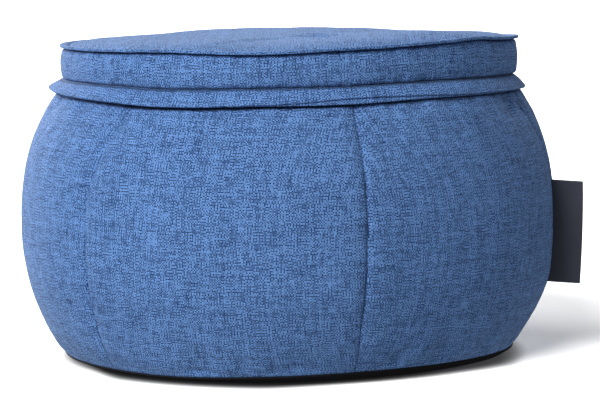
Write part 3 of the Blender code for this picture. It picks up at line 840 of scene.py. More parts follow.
def skin_relief(sizes, azimuth, radius, height, gore, share):
    """How far the skin is drawn in finely: its seams, soft lumps of the filling, gathers
    under the flange and at the foot, and creases, each with a low swelling beside it."""
    beside, arc = seam_beside(gore, share, radius)
    drawn = seam_relief(sizes, arc, height, beside) * foot_share(height)
    drawn = drawn * rim_share(sizes, radius, height)
    lumps = uneven(BAG_LUMPS, azimuth, height) * stretch(height, *LUMP_STRETCH)
    gathers = uneven(SHOULDER_GATHERS, azimuth, height) * stretch(height, *GATHER_STRETCH)
    middle, half = FOOT_GATHER_AT
    foot = bell(height - middle, half) * ease((height - FOOT_HEIGHT) / 0.004)
    foot = foot * uneven(FOOT_GATHERS, azimuth, height * 3)
    drawn = drawn + sizes.lumps * lumps + SHOULDER_GATHER * gathers + FOOT_GATHER * foot
    swell, away, broad = CREASE_SWELLING
    for crease in CREASES:
        middle = crease.line[len(crease.line) // 2][0]
        x = np.radians(offset_from(azimuth, middle)) * radius
        line = [(math.radians(turn - middle) * CREASE_RADIUS, up) for turn, up in crease.line]
        off, inner = from_line(x, height, line)
        width = crease.half_width_mm * MM
        fold = bell(off, width) - swell * bell(off - away * width, broad * width)
        drawn = drawn + crease.depth_mm * MM * fold * inner
    return drawn


def bag_points(sizes):
    """The bag's grid of points, with its cloth coordinates and its painted shade, which darkens
    the seams' slits and the tuck under the flange's hem. The cloth is filled first, and its seams
    are pressed in after, with its tuck above the hem of the flange."""
    plain, height = spun(bag_outline(sizes))
    azimuth, gore, share = columns_at(even_columns(len(height)), height)
    skin = (plain > RIM_RADIUS + MM) & (height >= FOOT_HEIGHT - 0.1 * MM)
    radius = plain - np.where(skin, skin_shape(sizes, azimuth, plain, height, gore, share), 0.0)
    radius = radius + foot_reach(azimuth, radius, height, sizes.foot_radius)
    points = polar(azimuth, radius, height + lift(azimuth, plain, height))
    rows = slice(*BAG_SKIN)
    slack = 4 * share * (1 - share) * stretch(height, *SLACK_STRETCH)
    held = (share == 0) | (height < FOOT_HEIGHT + 0.004) | (height > SKIN_TOP - 0.002)
    points[rows] += filled(
        "bag filling", points[rows], polar(azimuth, 1.0, 0 * height)[rows], slack[rows],
        held[rows], BAG_PRESSURE, sizes.bag_start, sizes.bag_slack, sizes.bag_cap)
    fine = skin_relief(sizes, azimuth, plain, height, gore, share)
    hem = leaf_points(sizes, *UNDER_LEAF)[0][..., 2].min(axis=0)
    under = ease((points[..., 2] - hem + around(HANGS, "gap", azimuth) * MM) / (2.5 * MM))
    fine = np.where(skin, fine + sizes.tuck * under, 0.0)
    points = points - polar(azimuth, fine, 0 * height)
    beside, arc = seam_beside(gore, share, plain)
    # Painted shade: darker along each seam's slit, and darker still where the tuck lies in shade
    # under the flange's hem.
    sunk = np.maximum(seam_shows(beside, height) * bell(arc, SHADE_LINE_HALF), 0.9 * under) * skin
    return (points, *gore_cloth(plain, height, gore, share), sunk)


def gore_cloth(radius, height, gore, share):
    """Cloth coordinates of the gores: across from each gore's middle line, and down from its
    top, with each gore cut from another place of the cloth."""
    down = along_rows(polar(np.zeros(radius.shape), radius, height))
    start = seam_azimuth_grid(gore, height)
    end = seam_azimuth_grid(gore + 1, height)
    ahead = np.roll(share, -1, axis=1)
    sides = []
    for way in (share, np.where(ahead == 0, 1.0, ahead)):
        across = np.radians(start + (end - start) * way - (start + end) / 2) * radius
        sides.append(np.stack(
            (across + gore * GORE_CUT[0], down + gore * GORE_CUT[1]), -1))
    return sides


def add_bag(sizes):
    """The filled bag."""
    points, left, right, sunk = bag_points(sizes)
    return round_mesh("bag_cover", points, left, right, sunk)


# The base cloth

def add_base(sizes):
    """The base cloth: its outline turned round the axis, upper side first, then its rounded
    edge and its underside."""
    top = base_top(sizes)[::-1]
    edge_z, turn_z = top[-1][1], top[-2][1]
    edge_radius = sizes.foot_radius - BASE_EDGE_IN
    rounded = ((0.5, 0.05), (0.85, -0.35), (0.75, -0.8), (0.4, -1.0))
    edge = [(edge_radius + out * BASE_CLOTH, edge_z + up * BASE_CLOTH) for out, up in rounded]
    edge.append((BASE_TURN_RADIUS + 0.4 * BASE_CLOTH, turn_z - 0.9 * BASE_CLOTH))
    under = [(FLAT_FOOT_RADIUS, 0.0), (MIDDLE_RING, 0.0), (0.0, 0.0)]
    radius, height = spun(np.array(top + edge + under))
    azimuth = sewn_columns(height)
    radius = radius + foot_reach(azimuth, radius, height, sizes.foot_radius)
    points = polar(azimuth, radius, height + lift(azimuth, radius, height))
    flat = points[..., :2]
    return round_mesh("base_cloth", points, flat, np.roll(flat, -1, axis=1))


# The flange

def follow(slope_in, slope_out, length):
    """The end of a curve that starts at a slope below level and bends evenly to another: its
    length over its turn, times the change of the slope's sine and cosine."""
    turn = np.where(np.abs(slope_out - slope_in) < 1e-4, 1e-4, slope_out - slope_in)
    reach = length * (np.sin(slope_in + turn) - np.sin(slope_in)) / turn
    drop = length * (np.cos(slope_in) - np.cos(slope_in + turn)) / turn
    return reach, drop


def leaf_points(sizes, middle_z, free_length, seed):
    """A ring of folded cloth, draped: flat out to the bend, round the bend, then down its
    slope to a rounded fold. Small ripples grow toward its free edge, and its hem is a little
    thicker. Gives the points, and their cloth coordinates across and down."""
    half = CLOTH / 2
    run = np.concatenate((
        [FLANGE_ROOT_RADIUS],
        np.linspace(FLANGE_BEND_RADIUS, FLANGE_BEND_RADIUS + FLANGE_FREE - half, 22)))
    turn = np.radians(np.linspace(90, -90, 9))[1:-1]
    edge = np.column_stack((run[-1] + half * np.cos(turn), half * np.sin(turn)))
    top = np.column_stack((run, np.full(len(run), half)))
    under = np.column_stack((run[::-1], np.full(len(run), -half)))
    radius, off = spun(np.vstack((top, edge, under)))
    height = off + middle_z
    azimuth = sewn_columns(height)
    slope_in = np.radians(around(HANGS, "slope_in", azimuth))
    slope_out = np.radians(around(HANGS, "slope_out", azimuth))
    whole = around(HANGS, free_length, azimuth) * MM
    free = np.maximum(radius - FLANGE_BEND_RADIUS, 0.0) * whole / FLANGE_FREE
    corner = FLANGE_CORNER * slope_in
    bent = np.minimum(free, corner)
    hung = free - bent
    slope_here = slope_in * bent / corner
    reach, drop = follow(np.zeros(free.shape), slope_here, bent)
    slope_end = slope_in + (slope_out - slope_in) * hung / (whole - corner)
    reach_out, drop_out = follow(slope_in, slope_end, np.maximum(hung, 1e-9))
    slope = np.where(hung > 0, slope_end, slope_here)
    share = np.clip(free / whole, 0, 1)
    shared = uneven(LEAF_RIPPLES, azimuth, radius * 0)
    own = uneven((LEAF_OWN._replace(seed=seed),), azimuth, free)
    ripple = sizes.ripple * (shared * share ** 2 + own * share)
    thicker = sum(more * bell(share - place, half) for more, place, half in FLANGE_HEM)
    off = (height - FLANGE_MIDDLE_Z) + off * thicker
    middle = np.minimum(radius, FLANGE_BEND_RADIUS) + reach + reach_out
    level = FLANGE_MIDDLE_Z - drop - drop_out
    raised = lift(azimuth, radius, np.full(radius.shape, FLANGE_MIDDLE_Z))
    off = off + ripple
    points = polar(azimuth, middle + off * np.sin(slope), level + off * np.cos(slope) + raised)
    return points, np.radians(azimuth) * FLANGE_BEND_RADIUS, along_rows(points)


def add_leaf(sizes, name, leaf):
    """One leaf of the flange, a ring whose section closes on itself."""
    points, across, down = leaf_points(sizes, *leaf)
    foot = sizes.band_radius - BAND_PULL_FOOT
    # Painted shade on the leaf along the foot of the lid's band, where the two meet.
    sunk = 0.9 * bell(np.hypot(points[..., 0], points[..., 1]) - foot, 1.6 * MM) * (down < 0.03)
    closing = down[-1] + np.linalg.norm(points[0] - points[-1], axis=-1)
    down = np.vstack((down, closing))
    across = np.vstack((across, across[:1]))
    left, right = wrapped_cloth(across, down)
    return round_mesh(name, points, left, right, sunk, ring=True)


# The lid

def puff(radius, azimuth):
    """How far the top of the pad rises inside the stitching: its crown, by a power of the way
    to the stitching, and its folds, each a bell over an oval."""
    share = np.clip(radius / STITCH_RADIUS, 0.0, 1.0)
    x, y = plan(azimuth, radius)
    rise = CROWN * (1 - share ** CROWN_FULLNESS)
    for fold in FOLDS:
        turn = math.radians(fold.turn)
        along = (x - fold.x) * math.cos(turn) + (y - fold.y) * math.sin(turn)
        across = (y - fold.y) * math.cos(turn) - (x - fold.x) * math.sin(turn)
        far = (along / fold.half_length) ** 2 + (across / fold.half_width) ** 2
        rise = rise + (1 - share ** 4) * np.exp(-far ** fold.steep) * fold.rise_mm * MM
    return rise


def shape_lid(outline, relief):
    """Turns the lid's outline, lifts it by the waves and the puff, and adds a relief that is
    a rise on level faces and a reach on upright ones."""
    radius, height = spun(outline)
    azimuth = sewn_columns(height)
    topmost = ease((height - PAD_TOP_Z + 2 * MM) / (2 * MM))
    inside = radius < STITCH_RADIUS + 0.1 * MM
    rise = np.where(inside, topmost * puff(radius, azimuth), 0.0)
    out_by, up_by = relief(azimuth, radius, height)
    raised = height + lift(azimuth, radius, height) + rise + up_by
    return azimuth, polar(azimuth, radius + lid_reach(azimuth, radius) + out_by, raised)


def upper_side(height):
    """Which points lie on the top panel's upper side."""
    return height > PANEL_TOP_Z - 0.4 * TOP_CLOTH


def panel_relief(sizes):
    """The top panel's fine relief: radial puckers that fade away from the stitching, a groove
    under the thread, soft ridges, and ripples of its lip."""

    def relief(azimuth, radius, height):
        off = radius - STITCH_RADIUS
        pucker = uneven(PANEL_PUCKERS, azimuth, radius)
        inner = ease((off + 0.018) / 0.016) * (off < 0.004)
        rise = sizes.panel_pucker * pucker * inner * (1 - 0.7 * bell(off, 1.2 * MM))
        depth, half = STITCH_GROOVE
        rise = rise - depth * bell(off, half)
        inner = ease((radius - 0.06) / 0.06) * (off < 0)
        rise = rise + PANEL_RIPPLE * uneven(PANEL_RIPPLES, azimuth, radius) * inner
        for ridge in RIDGES:
            away, along = from_line(*plan(azimuth, radius), ridge.line)
            rise = rise + ridge.rise_mm * MM * bell(away, ridge.half_width_mm * MM) * along
        wave = LIP_RIPPLE * uneven(LIP_RIPPLES, azimuth, radius * 0) * (off > 0.006)
        return wave * 0.6, np.where(upper_side(height), rise, 0.0) + wave

    return relief


def panel_outline(sizes):
    """The top panel's outline: upper side, the rounded lip with a slit between its two
    cloths, and the underside."""
    foot_z = PAD_TOP_Z + PANEL_GAP
    top_z = PANEL_TOP_Z
    lip_z = foot_z + LIP_RISE
    half = LIP_CLOTH / 2
    inner = np.concatenate((np.linspace(0, 0.20, 61), np.linspace(0.2025, STITCH_RADIUS, 30)))
    top = [(radius, top_z) for radius in inner]
    climb = [
        (STITCH_RADIUS + reach * MM, top_z + (lip_z + LIP_CLOTH - top_z) * rise)
        for reach, rise in LIP_CLIMB]
    edge = []
    for turn in np.radians(np.linspace(84, -84, 15)):
        slit = 0.40 * MM * float(bell(math.sin(turn), 0.22))
        edge.append((
            sizes.lip_radius - half * 0.8 * (1 - math.cos(turn)) - slit,
            lip_z + half + half * math.sin(turn)))
    under = [(STITCH_RADIUS + 4 * MM, lip_z)]
    under += [(radius, foot_z) for radius in (STITCH_RADIUS, *PAD_RINGS[::-1], 0.0)]
    return np.array(top + climb + edge + under)


def add_panel(sizes):
    """The top panel with its lip, cut with its threads along X and Y. Its cloth coordinates
    are laid out flat from its middle by the length of its outline."""
    outline = panel_outline(sizes)
    azimuth, points = shape_lid(outline, panel_relief(sizes))
    radius, height = spun(outline)
    reach = along_rows(polar(np.zeros(radius.shape), radius, height))
    flat = np.stack(plan(azimuth, reach), -1)
    # Painted shade along the stitching's groove.
    sunk = 0.45 * bell(radius - STITCH_RADIUS, SHADE_LINE_HALF) * upper_side(height)
    return round_mesh("top_panel", points, flat, np.roll(flat, -1, axis=1), sunk)


def pad_outline(sizes):
    """The pad's outline: hidden top, the band drawn in at both edges by the cube of the way
    from its middle, and hidden foot."""
    top = [(radius, PAD_TOP_Z) for radius in (0.0, *PAD_RINGS, STITCH_RADIUS)]
    share = np.sin(np.linspace(np.pi / 2, -np.pi / 2, BAND_ROWS))
    pull = np.where(share > 0, BAND_PULL_TOP, BAND_PULL_FOOT)
    band = list(zip(
        sizes.band_radius - pull * np.abs(share) ** 3, PAD_MIDDLE_Z + share * BAND_HEIGHT / 2))
    foot = [(radius, PAD_FOOT_Z) for radius in (RIM_RADIUS, SEAT_RADIUS, MIDDLE_RING, 0.0)]
    return np.array(top + band + foot)


def band_share(height):
    """Where a height lies on the band, from -1 at its foot to 1 at its top."""
    return (height - PAD_MIDDLE_Z) / (BAND_HEIGHT / 2)


def band_relief(azimuth, radius, height):
    """The band's fine relief: upright puckers from both its seams, soft lumps, and a slit at
    each seam."""
    share = band_share(height)
    upright = ease((radius - 0.2465) / 0.003)
    edge = ease((np.abs(share) - 0.15) / 0.6) * ease((1.0 - np.abs(share)) / 0.12)
    pucker = uneven(BAND_PUCKERS, azimuth, height)
    lumps = uneven(BAND_LUMPS, azimuth, height) * ease((1 - np.abs(share)) / 0.3)
    slit = BAND_SLIT * (bell(1 - share, 0.10) + bell(1 + share, 0.10)) * (np.abs(share) < 1.001)
    return upright * (BAND_PUCKER * pucker * edge + BAND_LUMP * lumps) - slit, 0.0


def pad_points(sizes):
    """The pad's grid of points: its band is filled first, and its puckers are pressed in after."""
    outline = pad_outline(sizes)
    azimuth, smooth = shape_lid(outline, lambda azimuth, radius, height: (0.0, 0.0))
    points = shape_lid(outline, band_relief)[1]
    rows = slice(*PAD_BAND)
    share = np.tile(band_share(outline[rows, 1:]), (1, COLUMNS))
    points[rows] += filled(
        "lid filling", smooth[rows], polar(azimuth, 1.0, 0 * azimuth)[rows], 1 - share ** 2,
        np.abs(share) > 0.985, PAD_PRESSURE, sizes.pad_start, sizes.pad_slack, sizes.pad_cap)
    # Painted shade at the band's two seams, with the top panel's lip above and the flange below.
    sunk = np.zeros(points.shape[:2])
    sunk[rows] = 0.9 * np.maximum(bell(1 - share, 0.07), bell(1 + share, 0.07))
    return azimuth, points, sunk


def add_pad(sizes):
    """The filled pad with its band."""
    azimuth, points, sunk = pad_points(sizes)
    left, right = wrapped_cloth(np.radians(azimuth) * BAND_RADIUS, along_rows(points))
    return round_mesh("lid_cushion", points, left, right, sunk)


# The stitching

def add_stitches(sizes):
    """Thread along the groove inside the lip: each stitch is a short arc of six-sided rings,
    dipped at both its ends by the cube of the way from its middle."""
    count = round(2 * math.pi * STITCH_RADIUS / sizes.stitch_pitch)
    steps = np.linspace(0, 1, STITCH_STEPS)
    sides = np.arange(STITCH_SIDES) * 2 * np.pi / STITCH_SIDES
    start = np.arange(count) * 360 / count
    azimuth = start[:, None] + 360 / count * STITCH_SHARE * (steps[None, :] - 0.5)
    thick = STITCH_THICK * np.sqrt(np.clip(1 - (2 * steps - 1) ** 4, 0.02, 1))
    rise = STITCH_RISE - STITCH_DIP * np.abs(2 * steps - 1) ** 3
    radius = np.full(azimuth.shape, STITCH_RADIUS)
    level = np.full(azimuth.shape, PANEL_TOP_Z)
    height = level + lift(azimuth, radius, level) - STITCH_SUNK + rise[None, :]
    reach = radius + lid_reach(azimuth, radius)
    points = polar(
        np.repeat(azimuth[:, :, None], STITCH_SIDES, axis=2),
        reach[:, :, None] + thick[None, :, None] * np.cos(sides),
        height[:, :, None] + thick[None, :, None] * np.sin(sides))
    index = np.arange(points[..., 0].size).reshape(points.shape[:3])
    caps = np.concatenate((index[:, 0, :], index[:, -1, ::-1]))
    faces = quads_of(np.concatenate((index, index[..., :1]), axis=2)) + caps.tolist()
    return open_mesh("lip_stitches", points, faces, points[..., :2])


# The label

def add_label(sizes):
    """The folded ribbon: in plan it goes out from the seam, round a small fold and back, and
    this section climbs the right seam with a slight wave; Solidify gives it its cloth."""
    spans, turns, rows = LABEL_GRID
    run = np.linspace(0, 1, spans, endpoint=False) * LABEL_WIDTH
    angle = np.linspace(0, np.pi, turns + 1)
    along = np.concatenate((run, LABEL_WIDTH - LABEL_SPREAD * (1 - np.sin(angle)), run[::-1]))
    side = np.concatenate((
        np.full(spans, LABEL_SPREAD), LABEL_SPREAD * np.cos(angle), np.full(spans, -LABEL_SPREAD)))
    height = np.linspace(LABEL_BOTTOM, LABEL_TOP, rows + 1)
    turn = np.radians(seam_azimuth(RIGHT_SEAM, height))
    drawn = (SEAM_DRAW + LABEL_SEAM) * foot_share(height)
    drawn = with_dents(drawn, np.degrees(turn), height)
    start = belly(sizes, height) - drawn + LABEL_SEAT
    share = (height - LABEL_BOTTOM) / (LABEL_TOP - LABEL_BOTTOM)
    wave = LABEL_WAVE * np.sin(2 * np.pi * share)
    edge = np.interp(height, (LABEL_BOTTOM, LABEL_TOP), LABEL_EDGE)
    edge = edge + LABEL_BOW * 4 * share * (1 - share)
    reach = start[:, None] + along[None, :] * ((edge - start) / LABEL_WIDTH)[:, None]
    across = side[None, :] + wave[:, None] * (along[None, :] / LABEL_WIDTH) ** 2
    x = reach * np.sin(turn)[:, None] + across * np.cos(turn)[:, None]
    y = -reach * np.cos(turn)[:, None] + across * np.sin(turn)[:, None]
    z = height[:, None] + (0.5 - along[None, :] / LABEL_WIDTH) * LABEL_DROP
    points = np.stack((x, y, z), -1)
    index = np.arange(points[..., 0].size).reshape(points.shape[:2])
    way = np.concatenate(([0], np.cumsum(np.hypot(np.diff(along), np.diff(side)))))
    cloth = np.stack(np.meshgrid(way, height), -1)
    piece = open_mesh("side_label", points, quads_of(index.T), cloth)
    solid = piece.modifiers.new("Thickness", "SOLIDIFY")
    solid.thickness = LABEL_CLOTH
    solid.offset = 0.0
    return piece


# Materials

class Wire:
    """A value in a material's nodes. Sums and products of wires add Math nodes."""

    def __init__(self, board, socket):
        self.board = board
        self.socket = socket

    def math(self, operation, first, second=0.0):
        return self.board.add("ShaderNodeMath", {"operation": operation}, {0: first, 1: second})

    def __add__(self, other):
        return self.math("ADD", self, other)

    __radd__ = __add__

    def __sub__(self, other):
        return self.math("SUBTRACT", self, other)

    def __rsub__(self, other):
        return self.math("SUBTRACT", other, self)

    def __mul__(self, other):
        return self.math("MULTIPLY", self, other)

    __rmul__ = __mul__

    def __truediv__(self, other):
        return self.math("DIVIDE", self, other)

    def __rtruediv__(self, other):
        return self.math("DIVIDE", other, self)

    def __pow__(self, other):
        return self.math("POWER", self, other)

    def __mod__(self, other):
        return self.math("FLOORED_MODULO", self, other)

    def __abs__(self):
        return self.math("ABSOLUTE", self)

    def floor(self):
        return self.math("FLOOR", self)

    def part(self):
        """What is left of a value above its floor."""
        return self - self.floor()


class Board:
    """A material whose nodes are added one by one to a Principled shader."""

    def __init__(self, name):
        self.material = bpy.data.materials.new(name)
        self.material.use_nodes = True
        self.tree = self.material.node_tree
        self.shader = self.tree.nodes["Principled BSDF"]

    def add(self, kind, settings=None, inputs=None, output=0):
        """Adds a node: its settings first, then a value or a wire for each input."""
        node = self.tree.nodes.new(kind)
        for name, value in (settings or {}).items():
            setattr(node, name, value)
        self.set(node, inputs or {})
        return Wire(self, node.outputs[output])

    def set(self, node, inputs):
        for name, value in inputs.items():
            if isinstance(value, Wire):
                self.tree.links.new(value.socket, node.inputs[name])
            else:
                node.inputs[name].default_value = value

    def finish(self, inputs):
        """Sets the shader's own sockets."""
        self.set(self.shader, inputs)
        return self.material

    def noise(self, place, scale, detail=2.0, rough=0.5):
        """Noise of about half everywhere, with blobs one over the scale wide."""
        return self.add("ShaderNodeTexNoise", {"noise_dimensions": "3D"}, {
            "Vector": place, "Scale": scale, "Detail": detail, "Roughness": rough})

    def white(self, place):
        """A different value from 0 to 1 for each whole place."""
        return self.add("ShaderNodeTexWhiteNoise", {"noise_dimensions": "3D"}, {"Vector": place})

    def point(self, x, y, z=0.0):
        return self.add("ShaderNodeCombineXYZ", None, {"X": x, "Y": y, "Z": z})

    def split(self, place):
        """The X and Y of a place."""
        return [
            self.add("ShaderNodeSeparateXYZ", None, {"Vector": place}, output=side)
            for side in (0, 1)]

    def cloth(self):
        """The piece's own cloth coordinates, in metres."""
        return self.add("ShaderNodeUVMap", {"uv_map": "cloth"})

    def place(self):
        """Object coordinates, in metres."""
        return self.add("ShaderNodeTexCoord", None, output=3)

    def bump(self, strength, distance, height):
        return self.add("ShaderNodeBump", None, {
            "Strength": strength, "Distance": distance, "Height": height})

    def step(self, value, low, high):
        """A soft step of a value from 0 at low to 1 at high: three times the square of the
        way less twice its cube."""
        return self.add("ShaderNodeMapRange", {"interpolation_type": "SMOOTHSTEP"}, {
            "Value": value, "From Min": low, "From Max": high})

    def mix(self, share, first, second, blend="MIX"):
        """A colour between two others."""
        return self.add("ShaderNodeMix", {"data_type": "RGBA", "blend_type": blend}, {
            "Factor": share, 6: first, 7: second}, output=2)


def rgba(colour):
    return (*colour, 1.0)


def round_top(share):
    """A rounded top: one less the square of the way from the middle to either edge."""
    return 1 - (share * 2 - 1) ** 2


# The blue weave
WANDER_RATE = 30.0          # turns of its yarns in a metre, and how far they stray
WANDER = 4.0 * MM
SLUB_WIDTHS = 260.0         # slubs in a metre across them and along them
SLUB_LENGTHS = 36.0
BROAD_RATE = 16.0           # clouds in a metre, and their share of the tone
BROAD_SHARE = 0.25
YARN_APART = 3.7            # how far apart neighbouring yarns read their noise
DASH_ROUGH = 0.65           # how rough that noise is, and how much of it is a yarn's own
DASH_OWN = 0.10
DASH_STEP = (0.43, 0.55)    # where that noise turns a yarn dark
CORE_STEP = (0.0, 0.30)     # where a crossing's rounded top takes its full tone
YARN_OWN = 0.12             # a yarn's own share of the tone, and the tone of a plain yarn
PLAIN_TONE = 0.32
GAP_STEP = (0.35, 0.95)     # where a cell's corner becomes a gap, and how plainly it shows
GAP_SHARE = 0.6
# the share of the painted shade in seams and recesses
SEAM_SHADE = 0.85


def woven_cloth(board, look):
    """The blue cloth: a plain weave of uneven light and dark yarns. Each yarn has its own
    line of noise, which turns it dark in dashes, and the cell's parity says which of the two
    yarns lies on top, so a dark yarn shows as a row of beads. Slubs are long soft streaks.
    Bare coordinates of a point only keep one noise apart from the others."""
    flat = board.cloth()
    u, v = board.split(flat)
    wander = board.noise(flat, WANDER_RATE) - 0.5
    sway = board.noise(board.point(v, u, 3.0), WANDER_RATE) - 0.5
    x = (u + wander * WANDER) / look.yarn_pitch
    y = (v + sway * WANDER) / look.yarn_pitch
    warp, weft = x.floor(), y.floor()
    across, along = x - warp, y - weft
    upright = board.noise(board.point(u * SLUB_WIDTHS, v * SLUB_LENGTHS, 4.0), 1.0) - 0.5
    level = board.noise(board.point(u * SLUB_LENGTHS, v * SLUB_WIDTHS, 6.0), 1.0) - 0.5
    broad = board.noise(flat, BROAD_RATE) - 0.5
    slub = (upright + level) * look.slubs + broad * BROAD_SHARE
    warp_own = board.white(board.point(warp, 5.0, 5.0)) - 0.5
    weft_own = board.white(board.point(7.0, weft, 7.0)) - 0.5
    warp_place = board.point(warp * YARN_APART, v * look.dash_rate, 0.0)
    weft_place = board.point(u * look.dash_rate, weft * YARN_APART, 9.0)
    warp_dark, weft_dark = (
        board.step(board.noise(place, 1.0, 2.0, DASH_ROUGH) + own * DASH_OWN, *DASH_STEP)
        for place, own in ((warp_place, warp_own), (weft_place, weft_own)))
    parity = (warp + weft) % 2.0
    hidden = 1 - parity
    dark = warp_dark * (parity - look.beads * hidden) + weft_dark * (hidden - look.beads * parity)
    grain = board.white(board.point(warp, weft, 1.0))
    own = warp_own * parity + weft_own * (1 - parity)
    dome = round_top(across) * round_top(along)
    core = board.step(dome, *CORE_STEP)
    tone = dark * look.contrast + (grain - 0.5) * look.grain + own * YARN_OWN + slub
    shade = (tone + PLAIN_TONE) * core
    yarn = board.mix(shade, rgba(look.light_yarn), rgba(look.dark_yarn))
    corner = (across * 2 - 1) ** 2 * (along * 2 - 1) ** 2
    gap = board.step(corner, *GAP_STEP)
    colour = board.mix(gap * GAP_SHARE, yarn, rgba(look.gap_colour))
    # Painted shade: the cloth darkens toward the painted seam shade in seams and recesses, by each
    # piece's sunk attribute.
    sunk = board.add("ShaderNodeAttribute", {"attribute_name": "sunk"}, output=2)
    colour = board.mix(sunk * SEAM_SHADE, colour, rgba(look.painted_seam_shade))
    return board.finish({
        "Base Color": colour,
        "Roughness": 0.80 + 0.12 * (grain - 0.5),
        "Specular IOR Level": 0.12,
        "Sheen Weight": look.sheen,
        "Sheen Roughness": 0.45,
        "Sheen Tint": (0.70, 0.82, 1.0, 1.0),
        "Normal": board.bump(look.bump, 0.6 * MM, dome + (1 - dark) * 0.25),
    })


def base_material(board, look):
    """The dark base cloth: a fine open weave with a little lint."""
    place = board.place()
    x, y = board.split(place)
    dome = round_top((x / look.base_pitch).part()) * round_top((y / look.base_pitch).part())
    lint = board.noise(place, 900.0)
    return board.finish({
        "Base Color": board.mix(
            lint * 0.6 + dome * 0.3, rgba(look.base_dark), rgba(look.base_light)),
        "Roughness": 0.86 + 0.08 * lint,
        "Specular IOR Level": 0.2,
        "Normal": board.bump(0.3, 0.3 * MM, dome),
    })


def ribbon_material(board, look):
    """The bare black ribbon: satin with fine ribs across it, finer threads along it, small
    flecks and soft clouds."""
    flat = board.cloth()
    u, v = board.split(flat)
    rib, thread = (v / (0.42 * MM)).part(), (u / (0.33 * MM)).part()
    dome = round_top(rib) * 0.7 + round_top(thread) * 0.3
    fleck = board.noise(board.point(u * 2600.0, v * 500.0, 0.0), 1.0)
    cloud = board.noise(flat, 40.0)
    return board.finish({
        "Base Color": board.mix(
            fleck * 0.5 + cloud * 0.4 + dome * 0.2, rgba(look.ribbon_dark),
            rgba(look.ribbon_light)),
        "Roughness": 0.46 + 0.16 * fleck,
        "Specular IOR Level": 0.45,
        "Sheen Weight": 0.10,
        "Normal": board.bump(0.25, 0.2 * MM, dome),
    })


def thread_material(board, look):
    """The sewing thread: the blues of the cloth, in fine noise for its twist."""
    twist = board.noise(board.place(), 1400.0, 1.0)
    return board.finish({
        "Base Color": board.mix(twist, rgba(look.dark_yarn), rgba(look.light_yarn)),
        "Roughness": 0.6 + 0.2 * twist,
        "Specular IOR Level": 0.3,
    })


FINISHES = {
    "blue weave": woven_cloth,
    "dark base cloth": base_material,
    "black ribbon": ribbon_material,
    "blue thread": thread_material,
}


# Sizes and colours that a user would change

def number(name, description, default, low=0.0, **more):
    return bpy.props.FloatProperty(
        name=name, description=description, default=default, min=low, **more)


def length(name, description, default):
    return number(name, description, default, precision=4, unit="LENGTH", subtype="DISTANCE")


def factor(name, description, default, top=1.0):
    return number(name, description, default, max=top, subtype="FACTOR")


def colour(name, description, default):
    return bpy.props.FloatVectorProperty(
        name=name, description=description, default=default, size=3, min=0.0, max=1.0,
        subtype="COLOR")


class FootstoolSizes(bpy.types.PropertyGroup):
    belly_radius: length("Belly radius", "Radius of the bag where it is widest", 0.300)
    belly_height: length("Belly height", "Height of the bag's widest ring", 0.150)
    shoulder_radius: length("Shoulder radius", "Radius of the bag under the flange", 0.262)
    foot_radius: length("Foot radius", "Radius of the seam with the base cloth", 0.2550)
    band_radius: length("Band radius", "Radius of the lid's band at its fullest", 0.257)
    lip_radius: length("Lip radius", "Radius of the top panel's turned-out edge", 0.2567)
    seam_depth: length("Seam depth", "Depth of the slit along the bag's seams", 1.6 * MM)
    pucker: length("Seam puckers", "Height of the puckers beside the bag's seams", 0.35 * MM)
    tuck: length("Tuck", "How far the bag's cloth turns in under the flange", 8.0 * MM)
    lumps: length("Lumps", "How uneven the filling makes the bag", 0.9 * MM)
    ripple: length("Ripples", "How far the flange's free edge ripples", 0.9 * MM)
    panel_pucker: length("Panel puckers", "Height of the puckers inside the stitching", 0.6 * MM)
    stitch_pitch: length("Stitch pitch", "Length of one stitch and the space after it", 3.6 * MM)
    bag_start: length("Bag start", "How far inside its place the bag's cloth starts", 3.0 * MM)
    bag_slack: factor("Bag slack", "How much larger the bag's cloth is cut", 0.010, 0.2)
    bag_cap: length("Bag cap", "How far the filling may move the bag's cloth", 3.0 * MM)
    pad_start: length("Lid start", "How far inside its place the lid's band starts", 1.2 * MM)
    pad_slack: factor("Lid slack", "How much larger the lid's band is cut", 0.020, 0.2)
    pad_cap: length("Lid cap", "How far the filling may move the lid's band", 2.0 * MM)


class FootstoolLook(bpy.types.PropertyGroup):
    light_yarn: colour("Light yarn", "Colour of the light yarns", (0.172, 0.352, 0.752))
    dark_yarn: colour("Dark yarn", "Colour of the dark yarns", (0.005, 0.024, 0.106))
    gap_colour: colour("Gaps", "Colour between the yarns", (0.020, 0.055, 0.160))
    # Painted shade: the colour that seams and recesses are darkened toward.
    painted_seam_shade: colour("Seams", "Colour deep in the seams", (0.004, 0.012, 0.038))
    base_light: colour("Base, light", "Lighter threads of the base cloth", (0.022, 0.023, 0.028))
    base_dark: colour("Base, dark", "Darker threads of the base cloth", (0.006, 0.006, 0.008))
    ribbon_light: colour("Ribbon, light", "Lighter threads of the label", (0.076, 0.084, 0.122))
    ribbon_dark: colour("Ribbon, dark", "Darker threads of the label", (0.031, 0.035, 0.054))
    yarn_pitch: length("Yarn pitch", "Distance from yarn to yarn", 1.55 * MM)
    base_pitch: length("Base pitch", "Distance from thread to thread of the base cloth", 0.9 * MM)
    dash_rate: number("Dash rate", "Changes of tone in a metre of yarn", 63.0, 1.0)
    contrast: factor("Contrast", "How dark the dark dashes are", 0.96, 3.0)
    grain: factor("Grain", "How far the tone jumps from one crossing to the next", 0.10, 3.0)
    slubs: factor("Slubs", "How far the tone drifts in long streaks both ways", 0.80, 3.0)
    beads: factor("Beads", "How far a hidden dark yarn pales the one above it", 0.50)
    bump: factor("Weave relief", "Strength of the weave's bump", 0.35)
    sheen: factor("Sheen", "Pale bloom of the cloth at a glancing angle", 0.15)


